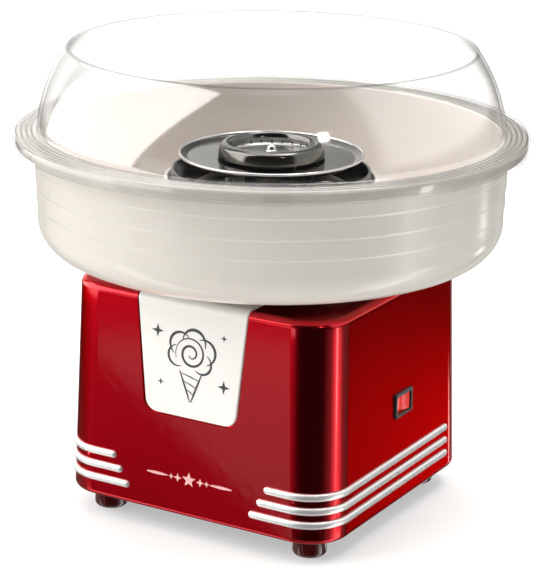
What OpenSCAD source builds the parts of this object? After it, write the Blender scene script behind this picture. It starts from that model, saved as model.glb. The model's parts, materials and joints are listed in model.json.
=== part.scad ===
// Cotton candy machine for a kitchen counter: a square painted base with a
// motor and heater inside, a round bowl, a spinning head and a clear rim guard.
// Units are millimetres. The origin is on the floor, on the spin axis.
// The front faces -Y and the power switch is on the +X side.

/* [Base] */
// Half width of the base at its bottom edge
base_half_x_bottom = 91; // [88:0.5:94]
// Half width of the base at the deck
base_half_x_top = 87.3; // [85:0.1:88]
// Half depth of the base at its bottom edge
base_half_y_bottom = 88.4; // [86:0.2:91]
// Half depth of the base at the deck
base_half_y_top = 84.7; // [83:0.1:86]
// Radius of the base's upright corners
corner_r = 24.5; // [20:0.5:28]
// Height of the base's bottom edge above the floor
base_z = 13.1; // [12:0.1:15]
// Height of the deck above the floor
deck_z = 143; // [141:0.5:144]
// Wall thickness of the base
wall = 3; // [2.6:0.1:3.2]

/* [Bowl] */
// Outer radius of the bowl's wall at its top
bowl_r = 137.5; // [136.5:0.1:138.5]
// Height of the bowl's underside
bowl_z = 156; // [154:0.5:157]
// Height of the bowl's rim
bowl_top_z = 225.6; // [224:0.1:227]
// Thickness of the bowl's wall
bowl_wall = 2.4; // [2:0.1:2.8]

/* [Rim guard] */
// Outer radius of the guard's flange, half of the machine's width
guard_r = 150; // [149.5:0.1:152]
// Height of the guard's open top edge
guard_top_z = 274.7; // [268:0.1:278]
// Outer radius of the guard's open top edge
guard_mouth_r = 118; // [115:0.5:120]

/* [Head] */
// Radius of the spinning head
head_r = 54.4; // [52:0.2:55]
// Height of the head's rolled rim
head_rim_z = 212.4; // [211:0.1:214]
// Radius of the motor shaft
shaft_r = 3; // [3:1:3]

/* [Feet and trim] */
// Radius of a foot
foot_r = 10; // [9:0.5:11]
// How far the trim bars stand out of the base
bar_relief = 1.7; // [1.2:0.1:2]
// Height of one trim bar
bar_h = 4.4; // [4:0.1:5]

/* [Hidden] */

$fn = 96;
hull_fn = 32;
eps = 0.01;
tall = 150;                  // longer than any part that a bore runs through
run_gap = 0.05;              // radial clearance of a shaft in its bore
draft = (base_half_x_bottom - base_half_x_top) / (deck_z - base_z);
edge_r_top = 4.5;
edge_r_bottom = 3.5;
inner_top_z = deck_z - wall;

foot_x = 68.2;
foot_y = 66.4;
cover_z = base_z + 0.3;
cover_t = 3;
cover_top_z = cover_z + cover_t;
post_x = 79.5;
post_y = 30;
post_r = 5;
screw_r = 2;
screw_hole_r = 2.1;

bar_z = [41.7, 33.5, 25.3];       // centre heights, top to bottom
bar_start_x = [50, 45.5, 40.5];   // front ends, top to bottom
bar_end_y = 60;
bar_seat = 0.6;                   // depth of the groove that a bar sits in

panel_half_top = 36.4;
panel_half_bottom = 30.6;
panel_bottom_z = 73.6;
panel_corner_r = 8;
panel_back_y = -68;
panel_t = 2;
panel_gap = 0.6;

switch_y = 3.4;
switch_z = 73.7;
bezel_y = 21;
bezel_z = 15;
bezel_back_x = 88.6;
bezel_front_x = 90.5;
bezel_hole_y = 16.8;
bezel_hole_z = 10.8;
rocker_r = 8.1;
rocker_x = 84.6;
rocker_rest = 9;
rocker_face = 3.6;                // pivot to the middle of the rocker's face

gland_x = -45;
gland_z = 38;
gland_bore_r = 3.6;
gland_back_y = 87.2;

seat_r_in = 60.3;
seat_r_out = 67;
seat_screw_r = 63.6;              // distance of a seat screw from the axis
housing_screw_r = 53;
standoff_r = 35;
shield_z = 169.2;
shield_t = 0.8;
housing_r = 58.3;
housing_t = 1.2;
housing_top_z = 202.5;
tray_z = 178;
element_r = 44;
element_z = 190;
element_tube_r = 2.3;
pin_angle = 5;                    // half the angle between the element's two ends

collar_r = 60.3;
collar_t = 2.4;
collar_top_z = 198;
bowl_round_r = 20;                // radius of the bowl's lower curve
step_z = [208.3, 196.5, 185.2];   // heights of the steps in the bowl's wall
step_in = 0.5;
bowl_wall_r = bowl_r - len(step_z) * step_in;   // outer radius below the lowest step
collar_fillet_r = 9;
bowl_lip_r = guard_r - 2;         // the bowl's rim fits inside the guard's skirt
bowl_lip_z = 219.8;

guard_t = 1.8;
guard_foot_r = 136;
flange_z = bowl_top_z;
flange_t = 1.6;
skirt_z = 219.2;
skirt_t = 1.5;
guard_foot_z = flange_z + flange_t;
tab_angles = [-125, -58, 9, 55, 122, 189];

can_r = 24;
motor_screw_r = 16;
can_bottom_z = 66;
can_top_z = 110;
bracket_t = 2;
bracket_post = 65;                // distance of a bracket post from the axis
fan_z = 116;
fan_h = 12;
fan_r = 34;
shaft_bottom_z = 58.5;
shaft_top_z = 204.5;
collar_z = 188;
hub_z = 193;
disc_z = 208.4;
disc_t = 0.8;
ring_top_z = 218.2;
ring_r = 31.4;
cup_r = 24;
cup_z = 210.2;
cup_top_z = 215.2;
spacer_r = 27;

board_x = 0;
board_y = 36;
board_z = 27;
board_w = 60;
board_d = 36;
board_t = 1.6;
board_hole_x = board_w / 2 - 5;
board_hole_y = board_d / 2 - 5;

// ---------- helpers ----------
module red() { color([0.62, 0.05, 0.08]) children(); }
module cream() { color([0.90, 0.88, 0.80]) children(); }
module silver() { color([0.78, 0.78, 0.80]) children(); }
module dark() { color([0.13, 0.13, 0.14]) children(); }
module steel() { color([0.60, 0.61, 0.63]) children(); }
module copper() { color([0.75, 0.42, 0.22]) children(); }

module at_four(x, y) {
    for (sx = [-1, 1], sy = [-1, 1]) translate([sx * x, sy * y, 0]) children();
}

module around(n, r, first = 0) {
    for (i = [0 : n - 1]) rotate([0, 0, first + i * 360 / n]) translate([r, 0, 0]) children();
}

module tube(r_out, r_in, z0, z1) {
    difference() {
        translate([0, 0, z0]) cylinder(r = r_out, h = z1 - z0);
        translate([0, 0, z0 - 1]) cylinder(r = r_in, h = z1 - z0 + 2);
    }
}

module rounded_rect(hx, hy, r) {
    square([2 * (hx - r), 2 * hy], center = true);
    square([2 * hx, 2 * (hy - r)], center = true);
    at_four(hx - r, hy - r) circle(r);
}

// A disc with one rounded rim: dir 1 rounds the top edge, -1 the bottom edge
module edge_disc(r, edge, dir) {
    rotate_extrude($fn = hull_fn) {
        square([r - edge, edge]);
        intersection() {
            translate([r - edge, dir > 0 ? 0 : edge]) circle(edge, $fn = hull_fn);
            square([r, edge]);
        }
    }
}

// The base's tapered, rounded outer form, moved in by inset
module base_form(inset, z_low, z_high) {
    hx = base_half_x_bottom - inset;
    hy = base_half_y_bottom - inset;
    r = corner_r - inset;
    high_in = (z_high - base_z) * draft;
    low_in = (z_low - base_z) * draft;
    edge_top = edge_r_top - inset * 0.7;
    edge_low = inset > 1 ? 1 : edge_r_bottom;
    hull() {
        translate([0, 0, z_low])
            at_four(hx - low_in - r, hy - low_in - r) edge_disc(r, edge_low, -1);
        translate([0, 0, z_high - edge_top])
            at_four(hx - high_in - r, hy - high_in - r) edge_disc(r, edge_top, 1);
    }
}

// One trim bar's outline seen from the front: a pill that starts at x_start
module bar_front_outline(x_start, h) {
    translate([x_start, 0]) translate([h / 2, 0]) circle(h / 2);
    translate([x_start + h / 2, -h / 2]) square([100, h]);
}

// The space of one right-hand trim bar, between two offsets from the base at the bar's height
module bar_space(i, inner, outer, h) {
    zc = bar_z[i];
    hx = base_half_x_bottom - (zc - base_z) * draft;
    hy = base_half_y_bottom - (zc - base_z) * draft;
    intersection() {
        translate([0, 0, zc - h / 2]) linear_extrude(h) difference() {
            rounded_rect(hx + outer, hy + outer, corner_r + outer);
            rounded_rect(hx + inner, hy + inner, corner_r + inner);
        }
        union() {
            translate([0, -hy + corner_r, zc]) rotate([90, 0, 0])
                linear_extrude(corner_r + 20) bar_front_outline(bar_start_x[i], h);
            translate([hx - corner_r, 0, zc]) rotate([90, 0, 90])
                linear_extrude(corner_r + 20) union() {
                    translate([bar_end_y - h / 2, 0]) circle(h / 2);
                    translate([-hy, -h / 2]) square([hy + bar_end_y - h / 2, h]);
                }
        }
    }
}

module trim_bar(i, side) {
    silver() mirror([side < 0 ? 1 : 0, 0, 0]) bar_space(i, -bar_seat, bar_relief, bar_h);
}

// The front panel's outline seen from the front
module panel_outline(grow) {
    low = panel_bottom_z - grow;
    half_low = panel_half_bottom + grow;
    half_top = panel_half_top + grow;
    r = panel_corner_r;
    polygon([[-half_low, low + r], [half_low, low + r], [half_top, deck_z - 2],
        [half_top, deck_z + 8], [-half_top, deck_z + 8], [-half_top, deck_z - 2]]);
    translate([-half_low + r, low]) square([2 * (half_low - r), r + 1]);
    for (s = [-1, 1]) translate([s * (half_low - r), low + r]) circle(r);
}

module panel_prism(grow) {
    translate([0, panel_back_y + grow, 0]) rotate([90, 0, 0])
        linear_extrude(60) panel_outline(grow);
}

// A wire: one eight-sided tube swept along a list of points
wire_sides = 8;
wire_side_axis = [1, 1, 0.5];     // no stretch of wire runs along this direction
function unit(v) = v / norm(v);
function wire_dir(p, i) =
    i == 0 ? unit(p[1] - p[0]) :
    i == len(p) - 1 ? unit(p[i] - p[i - 1]) :
    unit(unit(p[i + 1] - p[i]) + unit(p[i] - p[i - 1]));
function wire_ring(p, i, r) =
    let (t = wire_dir(p, i), u = unit(cross(t, wire_side_axis)), v = cross(t, u))
    [for (k = [0 : wire_sides - 1]) let (a = k * 360 / wire_sides) p[i] + r * (cos(a) * u + sin(a) * v)];

module wire(p, r) {
    n = wire_sides;
    last = len(p) - 1;
    polyhedron(
        points = [for (i = [0 : last]) each wire_ring(p, i, r)],
        faces = concat(
            [[for (k = [0 : n - 1]) k]],
            [for (i = [0 : last - 1], k = [0 : n - 1])
                [i * n + k, (i + 1) * n + k, (i + 1) * n + (k + 1) % n, i * n + (k + 1) % n]],
            [[for (k = [n - 1 : -1 : 0]) last * n + k]]));
}

// ---------- base ----------
module base_shell() {
    red() difference() {
        union() {
            difference() {
                base_form(0, base_z, deck_z);
                base_form(wall, base_z - 8, inner_top_z);
            }
            // a thicker wall and deck behind the front panel
            intersection() {
                base_form(0.5, base_z, deck_z - 0.5);
                translate([-46, -95, 64]) cube([92, 95 - 79.5, 90]);
            }
            intersection() {
                base_form(0.5, base_z, deck_z - 0.5);
                translate([-46, -95, deck_z - 6]) cube([92, 95 - 64, 10]);
            }
            at_four(post_x, post_y) translate([0, 0, cover_top_z])
                cylinder(r = post_r, h = inner_top_z - cover_top_z + 1);
            for (s = [-1, 1], t = [-1, 1])
                translate([s * (post_x + 3) - 3, t * post_y - 1.5, cover_top_z])
                    cube([6, 3, inner_top_z - cover_top_z + 1]);
            around(4, bracket_post, 45) translate([0, 0, fan_z])
                cylinder(r = 6, h = inner_top_z - fan_z + 1);
        }
        intersection() {
            panel_prism(panel_gap);
            difference() {
                base_form(-5, base_z, deck_z + 5);
                base_form(panel_t, base_z, deck_z - panel_t);
            }
        }
        for (i = [0 : 2], side = [0, 1]) mirror([side, 0, 0]) bar_space(i, -bar_seat, 6, bar_h + 0.4);
        translate([0, 0, inner_top_z - 5]) cylinder(r = 48, h = 20);
        at_four(post_x, post_y) translate([0, 0, cover_top_z - 1]) cylinder(r = screw_hole_r, h = 15);
        around(4, bracket_post, 45) translate([0, 0, fan_z - 1]) cylinder(r = screw_hole_r, h = 15);
        around(4, seat_screw_r, 22.5) translate([0, 0, inner_top_z - 3]) cylinder(r = 1.6, h = 10);
        around(4, housing_screw_r, 45) translate([0, 0, inner_top_z - 3]) cylinder(r = 1.6, h = 10);
        switch_cutout();
        translate([gland_x, 70, gland_z]) rotate([-90, 0, 0]) cylinder(r = 6.05, h = 30);
        translate([gland_x, gland_back_y, gland_z]) rotate([-90, 0, 0]) cylinder(r = 8.3, h = 10);
    }
}

module switch_cutout() {
    translate([bezel_back_x, switch_y - bezel_y / 2 - 0.2, switch_z - bezel_z / 2 - 0.2])
        cube([10, bezel_y + 0.4, bezel_z + 0.4]);
    translate([70, switch_y - 9.5, switch_z - 6.6]) cube([25, 19, 13.2]);
}

module front_panel() {
    cream() intersection() {
        panel_prism(0);
        difference() {
            base_form(-0.3, base_z, deck_z + 0.3);
            base_form(panel_t, base_z, deck_z - panel_t);
        }
    }
}

module bottom_cover() {
    dark() difference() {
        union() {
            translate([0, 0, cover_z]) linear_extrude(cover_t)
                rounded_rect(base_half_x_bottom - wall - 0.7, base_half_y_bottom - wall - 0.7,
                    corner_r - wall - 0.3);
            at_four(foot_x, foot_y) translate([0, 0, cover_top_z - eps]) cylinder(r = 5, h = 11);
            translate([board_x, board_y, cover_top_z - eps])
                at_four(board_hole_x, board_hole_y) cylinder(r = 3.5, h = board_z - cover_top_z);
        }
        at_four(foot_x, foot_y) translate([0, 0, cover_z - 1]) cylinder(r = screw_hole_r, h = 13);
        at_four(post_x, post_y) {
            translate([0, 0, cover_z - 1]) cylinder(r = screw_hole_r, h = 6);
            translate([0, 0, cover_z - 1]) cylinder(r = 4, h = 1 + 1.6);
        }
        translate([board_x, board_y, cover_top_z + 2])
            at_four(board_hole_x, board_hole_y) cylinder(r = 1.3, h = 12);
        for (i = [-4 : 4]) translate([i * 9 - 2, -55, cover_z - 1]) cube([4, 50, cover_t + 2]);
    }
}

module foot(sx, sy) {
    round_r = 2.5;
    color([0.70, 0.06, 0.07]) translate([sx * foot_x, sy * foot_y, 0]) difference() {
        rotate_extrude() {
            square([foot_r - round_r, cover_z]);
            translate([0, round_r]) square([foot_r, cover_z - round_r]);
            translate([foot_r - round_r, round_r]) circle(round_r);
        }
        translate([0, 0, -1]) cylinder(r = 4.5, h = 7);
        translate([0, 0, 5]) cylinder(r = screw_hole_r, h = 12);
    }
}

module foot_front_right() { foot(1, -1); }
module foot_front_left() { foot(-1, -1); }
module foot_rear_right() { foot(1, 1); }
module foot_rear_left() { foot(-1, 1); }

// A pan-head screw that points up, with the underside of its head at z
module screw_up(z, r, head_r, head_h, length) {
    translate([0, 0, z - head_h]) cylinder(r = head_r, h = head_h);
    translate([0, 0, z - eps]) cylinder(r = r, h = length);
}

// A pan-head screw that points down, with the underside of its head at z
module screw_down(z, r, head_r, head_h, length) {
    translate([0, 0, z]) cylinder(r = head_r, h = head_h);
    translate([0, 0, z - length]) cylinder(r = r, h = length + eps);
}

module foot_screws() { steel() at_four(foot_x, foot_y) screw_up(6, screw_r, 3.8, 2.4, 18); }
module cover_screws() { steel() at_four(post_x, post_y) screw_up(cover_z + 1.6, screw_r, 3.7, 1.5, 12); }
module bracket_screws() {
    steel() around(4, bracket_post, 45) screw_up(can_top_z, screw_r, 4, 2.4, 16);
}
module seat_screws() { steel() around(4, seat_screw_r, 22.5) screw_up(inner_top_z, 1.5, 3, 2, 13); }
module housing_screws() {
    steel() around(4, housing_screw_r, 45) screw_down(deck_z + housing_t, 1.5, 3, 2, 6);
}
module motor_screws() {
    steel() around(2, motor_screw_r, 0) screw_down(can_top_z + bracket_t, 1.5, 2.8, 1.8, 4);
}
module board_screws() {
    steel() translate([board_x, board_y, 0])
        at_four(board_hole_x, board_hole_y) screw_down(board_z + board_t, 1.2, 2.6, 1.6, 8);
}

// ---------- switch ----------
module switch_bezel() {
    dark() difference() {
        union() {
            translate([bezel_back_x, switch_y - bezel_y / 2, switch_z - bezel_z / 2])
                cube([bezel_front_x - bezel_back_x, bezel_y, bezel_z]);
            translate([76, switch_y - 9.4, switch_z - 6.5]) cube([bezel_back_x - 76 + eps, 18.8, 13]);
        }
        translate([75, switch_y - bezel_hole_y / 2, switch_z - bezel_hole_z / 2])
            cube([20, bezel_hole_y, bezel_hole_z]);
        translate([rocker_x, switch_y, switch_z - 7]) cylinder(r = 0.95, h = 14);
    }
}

module switch_body() {
    dark() translate([66, switch_y - 9.4, switch_z - 6.5]) cube([10, 18.8, 13]);
}

module switch_terminals() {
    color([0.80, 0.62, 0.30]) for (s = [-1, 0, 1])
        translate([58, switch_y + s * 6 - 0.4, switch_z - 2.4]) cube([8, 0.8, 4.8]);
}

module switch_rocker() {
    half_h = bezel_hole_z / 2 - 0.3;
    color([0.85, 0.10, 0.06]) translate([rocker_x, switch_y, switch_z]) rotate([0, 0, -rocker_rest])
        union() {
            translate([0, 0, -half_h]) intersection() {
                cylinder(r = rocker_r, h = 2 * half_h);
                linear_extrude(2 * half_h) polygon([[-3, -rocker_r], [-3, rocker_r],
                    [rocker_face + rocker_r * tan(rocker_rest), rocker_r], [rocker_face, 0],
                    [rocker_face + rocker_r * tan(rocker_rest), -rocker_r]]);
            }
            translate([0, 0, -6.2]) cylinder(r = 0.9, h = 12.4);
        }
}

module cord_gland() {
    dark() translate([gland_x, 0, gland_z]) rotate([-90, 0, 0]) difference() {
        union() {
            translate([0, 0, gland_back_y]) cylinder(r = 8, h = 2.2);
            translate([0, 0, gland_back_y - 5]) cylinder(r = 6, h = 5 + eps);
        }
        translate([0, 0, gland_back_y - 6]) cylinder(r = gland_bore_r, h = 10);
    }
}

// ---------- heater ----------
module bowl_seat() {
    dark() difference() {
        tube(seat_r_out, seat_r_in, deck_z, bowl_z);
        around(4, seat_screw_r, 22.5) translate([0, 0, deck_z - 1]) cylinder(r = 1.6, h = 11);
    }
}

module heater_housing() {
    color([0.24, 0.24, 0.25]) difference() {
        union() {
            tube(housing_r, housing_r - housing_t, deck_z, housing_top_z);
            tube(housing_r - housing_t + eps, 50, deck_z, deck_z + housing_t);
            tube(housing_r - housing_t + eps, 9, tray_z, tray_z + housing_t);
        }
        around(4, housing_screw_r, 45) translate([0, 0, deck_z - 1]) cylinder(r = 1.6, h = 4);
        around(3, standoff_r, 60) translate([0, 0, tray_z - 1]) cylinder(r = 1.6, h = 4);
        for (s = [-1, 1]) rotate([0, 0, 90 + s * pin_angle]) translate([element_r, 0, tray_z - 1])
            cylinder(r = 3.5, h = 4);
    }
}

module element_torus(r) {
    translate([0, 0, element_z]) rotate_extrude() translate([element_r, 0]) circle(r, $fn = 32);
}

module heating_element() {
    color([0.35, 0.30, 0.28]) union() {
        element_torus(element_tube_r);
        for (s = [-1, 1]) rotate([0, 0, 90 + s * pin_angle]) translate([element_r, 0, 166])
            cylinder(r = 1.6, h = element_z - 166, $fn = 32);
    }
}

module element_insulators() {
    color([0.93, 0.91, 0.86]) difference() {
        around(3, element_r, 30) translate([-5, -4, tray_z + housing_t])
            cube([10, 8, element_z - tray_z - housing_t + 1]);
        element_torus(element_tube_r + 0.1);
    }
}

module terminal_beads() {
    color([0.93, 0.91, 0.86]) for (s = [-1, 1]) rotate([0, 0, 90 + s * pin_angle])
        translate([element_r, 0, 0]) tube(3.5, 1.65, tray_z - 2, tray_z + 3);
}

module heat_shield() {
    silver() difference() {
        tube(56, 12, shield_z, shield_z + shield_t);
        around(3, standoff_r, 60) translate([0, 0, 168]) cylinder(r = 1.6, h = 3);
        for (s = [-1, 1]) rotate([0, 0, 90 + s * pin_angle]) translate([element_r, 0, 168])
            cylinder(r = 3, h = 3);
    }
}

module shield_standoffs() {
    steel() around(3, standoff_r, 60) {
        translate([0, 0, shield_z + shield_t]) cylinder(r = 3.4, h = tray_z - shield_z - shield_t);
        translate([0, 0, shield_z - 2]) cylinder(r = 1.5, h = 14);
        translate([0, 0, shield_z - 2]) cylinder(r = 3, h = 2);
        translate([0, 0, tray_z + housing_t]) cylinder(r = 3, h = 2);
    }
}

module thermal_cutout() {
    color([0.16, 0.16, 0.18]) translate([30, 0, 0]) {
        translate([0, 0, 171.5]) cylinder(r = 8, h = tray_z - 171.5);
        for (s = [-1, 1]) translate([-2, s * 10 - 3, 172.5]) cube([4, 6, 0.8]);
    }
}

module thermal_fuse() {
    color([0.75, 0.70, 0.55]) translate([0, -30, 175.5]) rotate([0, 90, 0]) {
        translate([0, 0, -6]) cylinder(r = 1.8, h = 12);
        translate([0, 0, -12]) cylinder(r = 0.5, h = 24, $fn = 16);
    }
}

module shaft_bush() {
    color([0.72, 0.53, 0.28]) difference() {
        union() {
            translate([0, 0, 173]) cylinder(r = 9, h = 8);
            translate([0, 0, tray_z + housing_t]) cylinder(r = 11, h = 2);
        }
        translate([0, 0, 172]) cylinder(r = shaft_r + run_gap, h = 12);
    }
}

// ---------- motor ----------
module motor_can() {
    steel() difference() {
        translate([0, 0, can_bottom_z]) cylinder(r = can_r, h = can_top_z - can_bottom_z);
        translate([0, 0, can_bottom_z - 1]) cylinder(r = can_r - 1.2, h = can_top_z - can_bottom_z - 1);
        cylinder(r = shaft_r + run_gap, h = tall);
        around(2, motor_screw_r, 0) cylinder(r = 1.6, h = tall);
    }
}

module motor_end_cap() {
    dark() difference() {
        translate([0, 0, can_bottom_z - 4]) cylinder(r = can_r, h = 4);
        cylinder(r = shaft_r + run_gap, h = tall);
    }
}

module motor_magnets() {
    color([0.20, 0.20, 0.22]) difference() {
        tube(can_r - 1.2, 16.4, 74, 102);
        for (s = [-1, 1]) translate([-30, s * 20 - 8, 70]) cube([60, 16, 40]);
    }
}

module motor_brushes() {
    color([0.10, 0.10, 0.10]) for (s = [-1, 1])
        translate([s * 10 - 3.6, -2, can_bottom_z]) cube([7.2, 4, 6]);
}

module motor_bracket() {
    steel() difference() {
        translate([0, 0, can_top_z]) union() {
            cylinder(r = 26, h = bracket_t);
            for (a = [45, 135]) rotate([0, 0, a])
                translate([-bracket_post, -7, 0]) cube([2 * bracket_post, 14, bracket_t]);
            around(4, bracket_post, 45) cylinder(r = 7, h = bracket_t);
        }
        cylinder(r = 6, h = tall);
        around(2, motor_screw_r, 0) cylinder(r = 1.6, h = tall);
        around(4, bracket_post, 45) cylinder(r = screw_hole_r, h = tall);
    }
}

module motor_grommets() {
    color([0.08, 0.08, 0.08]) around(4, bracket_post, 45)
        tube(6, screw_hole_r, can_top_z + bracket_t, fan_z);
}

// ---------- electrics ----------
module circuit_board() {
    color([0.10, 0.35, 0.18]) difference() {
        translate([board_x - board_w / 2, board_y - board_d / 2, board_z]) cube([board_w, board_d, board_t]);
        translate([board_x, board_y, board_z - 1])
            at_four(board_hole_x, board_hole_y) cylinder(r = 1.3, h = 4);
    }
}

module board_components() {
    top = board_z + board_t;
    dark() {
        translate([-22, 32, top]) cube([15, 6, 15]);
        translate([12, 38, top]) cylinder(r = 6, h = 16);
        translate([0, 28, top]) cube([4, 16, 9]);
        for (y = [30, 45]) translate([-4, y, top]) cylinder(r = 1.5, h = 6);
    }
}

module switch_leads() {
    color([0.12, 0.12, 0.13]) {
        wire([[57, -2.6, 73.7], [52, -2.6, 68], [50, 20, 50], [40, 30, 36], [26, 36, 32]], 1.1);
        wire([[57, 3.4, 73.7], [54, 3.4, 60], [46, 36, 42], [27, 42, 31]], 1.1);
    }
}

module motor_leads() {
    color([0.75, 0.10, 0.10]) for (s = [-1, 1])
        wire([[s * 8 - 2, 25, 30], [s * 8 - 2, 22, 44], [s * 12, 10, 55], [s * 12, 8, 61.9]], 1.1);
}

module heater_leads() {
    color([0.90, 0.88, 0.80]) for (s = [-1, 1])
        wire([[s * 4, 44, 165.9], [s * 4, 41, 150], [s * 4, 42, 112], [s * 9, 50, 70],
            [s * 14, 47, 40], [s * 14 - 4, 47, 31]], 1.2);
}

// ---------- drive: everything that turns with the motor ----------
module motor_shaft() {
    color([0.80, 0.80, 0.82]) difference() {
        translate([0, 0, shaft_bottom_z]) cylinder(r = shaft_r, h = shaft_top_z - shaft_bottom_z);
        translate([-20, 0, hub_z + 3.5]) rotate([0, 90, 0]) cylinder(r = 1.25, h = 40, $fn = 48);
    }
}

module motor_armature() {
    copper() difference() {
        translate([0, 0, 76]) cylinder(r = 15.6, h = 24);
        cylinder(r = shaft_r, h = tall);
        around(8, 13, 0) translate([0, -1, 70]) cube([10, 2, 40]);
    }
}

module commutator() {
    copper() difference() {
        translate([0, 0, can_bottom_z + 0.8]) cylinder(r = 6, h = 8);
        cylinder(r = shaft_r, h = tall);
        around(8, 5, 0) translate([0, -0.3, 66]) cube([3, 0.6, 12]);
    }
}

module cooling_fan() {
    color([0.85, 0.85, 0.83]) difference() {
        union() {
            translate([0, 0, fan_z]) cylinder(r = 9, h = fan_h);
            for (i = [0 : 6]) rotate([0, 0, i * 360 / 7])
                translate([7, 0, fan_z + fan_h / 2]) rotate([35, 0, 0])
                    translate([0, -8, -0.8]) cube([fan_r - 8, 16, 1.6]);
        }
        cylinder(r = shaft_r, h = tall);
    }
}

module shaft_collar() { steel() tube(6, shaft_r, collar_z, hub_z); }

module drive_pin() {
    color([0.80, 0.80, 0.82]) translate([-6.5, 0, hub_z + 3.5]) rotate([0, 90, 0])
        cylinder(r = 1.25, h = 13, $fn = 48);
}

// ---------- head ----------
module head_disc() {
    silver() difference() {
        rotate_extrude() {
            translate([0, disc_z]) square([45, disc_t]);
            polygon([[45 - eps, disc_z], [head_r - 3, head_rim_z - 3.6], [head_r - 0.8, head_rim_z - 0.6],
                [head_r - 1.4, head_rim_z], [head_r - 3.8, head_rim_z - 2.9], [45 - eps, disc_z + disc_t]]);
            translate([head_r - 0.9, head_rim_z - 0.9]) circle(0.9, $fn = 32);
        }
        translate([0, 0, disc_z - 1]) cylinder(r = 5, h = 3);
        around(3, spacer_r, 90) translate([0, 0, disc_z - 1]) cylinder(r = 0.8, h = 3);
    }
}

module head_cup() {
    silver() difference() {
        union() {
            translate([0, 0, cup_z]) cylinder(r = cup_r + 0.5, h = 0.8);
            tube(cup_r + 1.2, cup_r + 0.2, disc_z + disc_t, cup_top_z);
        }
        translate([0, 0, cup_z - 1]) cylinder(r = 2.5, h = 3);
        for (i = [0 : 23]) rotate([0, 0, i * 15])
            translate([cup_r - 2, -0.8, cup_z + 1.4]) cube([6, 1.6, 2.6]);
    }
}

module head_ring() {
    round_r = 2.4;
    low_z = disc_z + disc_t + 1.2;
    silver() difference() {
        rotate_extrude() difference() {
            union() {
                polygon([[cup_r, cup_top_z], [ring_r, low_z], [ring_r - 2, ring_top_z - round_r],
                    [ring_r - 2 - round_r, ring_top_z], [cup_r + 1, ring_top_z], [cup_r, ring_top_z - 1]]);
                translate([ring_r - 2 - round_r, ring_top_z - round_r]) circle(round_r, $fn = 48);
            }
            polygon([[cup_r + 1.2, cup_top_z - 1.6], [cup_r + 1.2, ring_top_z - 1.6],
                [ring_r - 4.4, ring_top_z - 1.6], [ring_r - 3.1, ring_top_z - 3],
                [ring_r - 1, low_z], [ring_r - 1, disc_z], [cup_r + 1.2, disc_z]]);
            translate([cup_r - 2, disc_z]) square([3.2, cup_top_z - disc_z]);
        }
    }
}

module head_hub() {
    color([0.55, 0.55, 0.57]) difference() {
        union() {
            translate([0, 0, hub_z]) cylinder(r = 9, h = disc_z - hub_z);
            translate([0, 0, disc_z - eps]) cylinder(r = 5, h = cup_z - disc_z + eps);
            translate([0, 0, cup_z - eps]) cylinder(r = 2.5, h = 2);
        }
        translate([0, 0, hub_z - 1]) cylinder(r = shaft_r + run_gap, h = shaft_top_z - hub_z + 1.4);
        translate([-12, -1.6, hub_z - 1]) cube([24, 3.2, 6.1]);
    }
}

module head_cap_nut() {
    silver() translate([0, 0, cup_z + 0.8]) difference() {
        union() {
            cylinder(r = 3.6, h = 2.6);
            translate([0, 0, 2.6]) intersection() {
                sphere(3.4, $fn = 48);
                cylinder(r = 4, h = 4);
            }
        }
        translate([0, 0, -1]) cylinder(r = 2.5, h = 2.3);
    }
}

module head_spacers() {
    steel() around(3, spacer_r, 90) {
        translate([0, 0, disc_z - 0.6]) cylinder(r = 0.75, h = 3);
        translate([0, 0, disc_z - 1.2]) cylinder(r = 1.4, h = 1.2);
        translate([0, 0, disc_z + disc_t]) cylinder(r = 0.9, h = ring_top_z - 3 - disc_z - disc_t);
    }
}

// ---------- bowl ----------
module bowl_outline_solid(inset) {
    floor_r = bowl_wall_r - bowl_round_r;
    low = bowl_z + inset;
    r = bowl_round_r - inset;
    translate([0, low]) square([floor_r, bowl_top_z - low]);
    translate([floor_r, bowl_z + bowl_round_r]) circle(r, $fn = 128);
    translate([0, bowl_z + bowl_round_r]) square([floor_r + r, bowl_top_z - bowl_z - bowl_round_r]);
}

module bowl() {
    inner_r = bowl_wall_r - bowl_wall;
    fillet_r = collar_fillet_r;
    cream() rotate_extrude($fn = 180) {
        difference() {
            union() {
                bowl_outline_solid(0);
                for (i = [0 : 2]) translate([0, step_z[i]])
                    square([bowl_r - i * step_in, bowl_top_z - step_z[i]]);
            }
            difference() {
                bowl_outline_solid(bowl_wall);
                translate([0, bowl_z]) square([collar_r + collar_t, collar_top_z - bowl_z]);
            }
            translate([0, bowl_z + bowl_wall]) translate([collar_r + collar_t, bowl_wall])
                square([10, bowl_top_z]);
            translate([-1, bowl_z - 1]) square([collar_r + 1, 80]);
            translate([-1, collar_top_z]) square([inner_r, 40]);
        }
        translate([collar_r + collar_t - eps, bowl_z + bowl_wall - eps]) difference() {
            square([fillet_r, fillet_r]);
            translate([fillet_r, fillet_r]) circle(fillet_r);
        }
        translate([inner_r, bowl_top_z - bowl_wall]) square([bowl_lip_r - inner_r, bowl_wall]);
        translate([bowl_lip_r - 2, bowl_lip_z]) square([2, bowl_top_z - bowl_lip_z]);
    }
}

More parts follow.
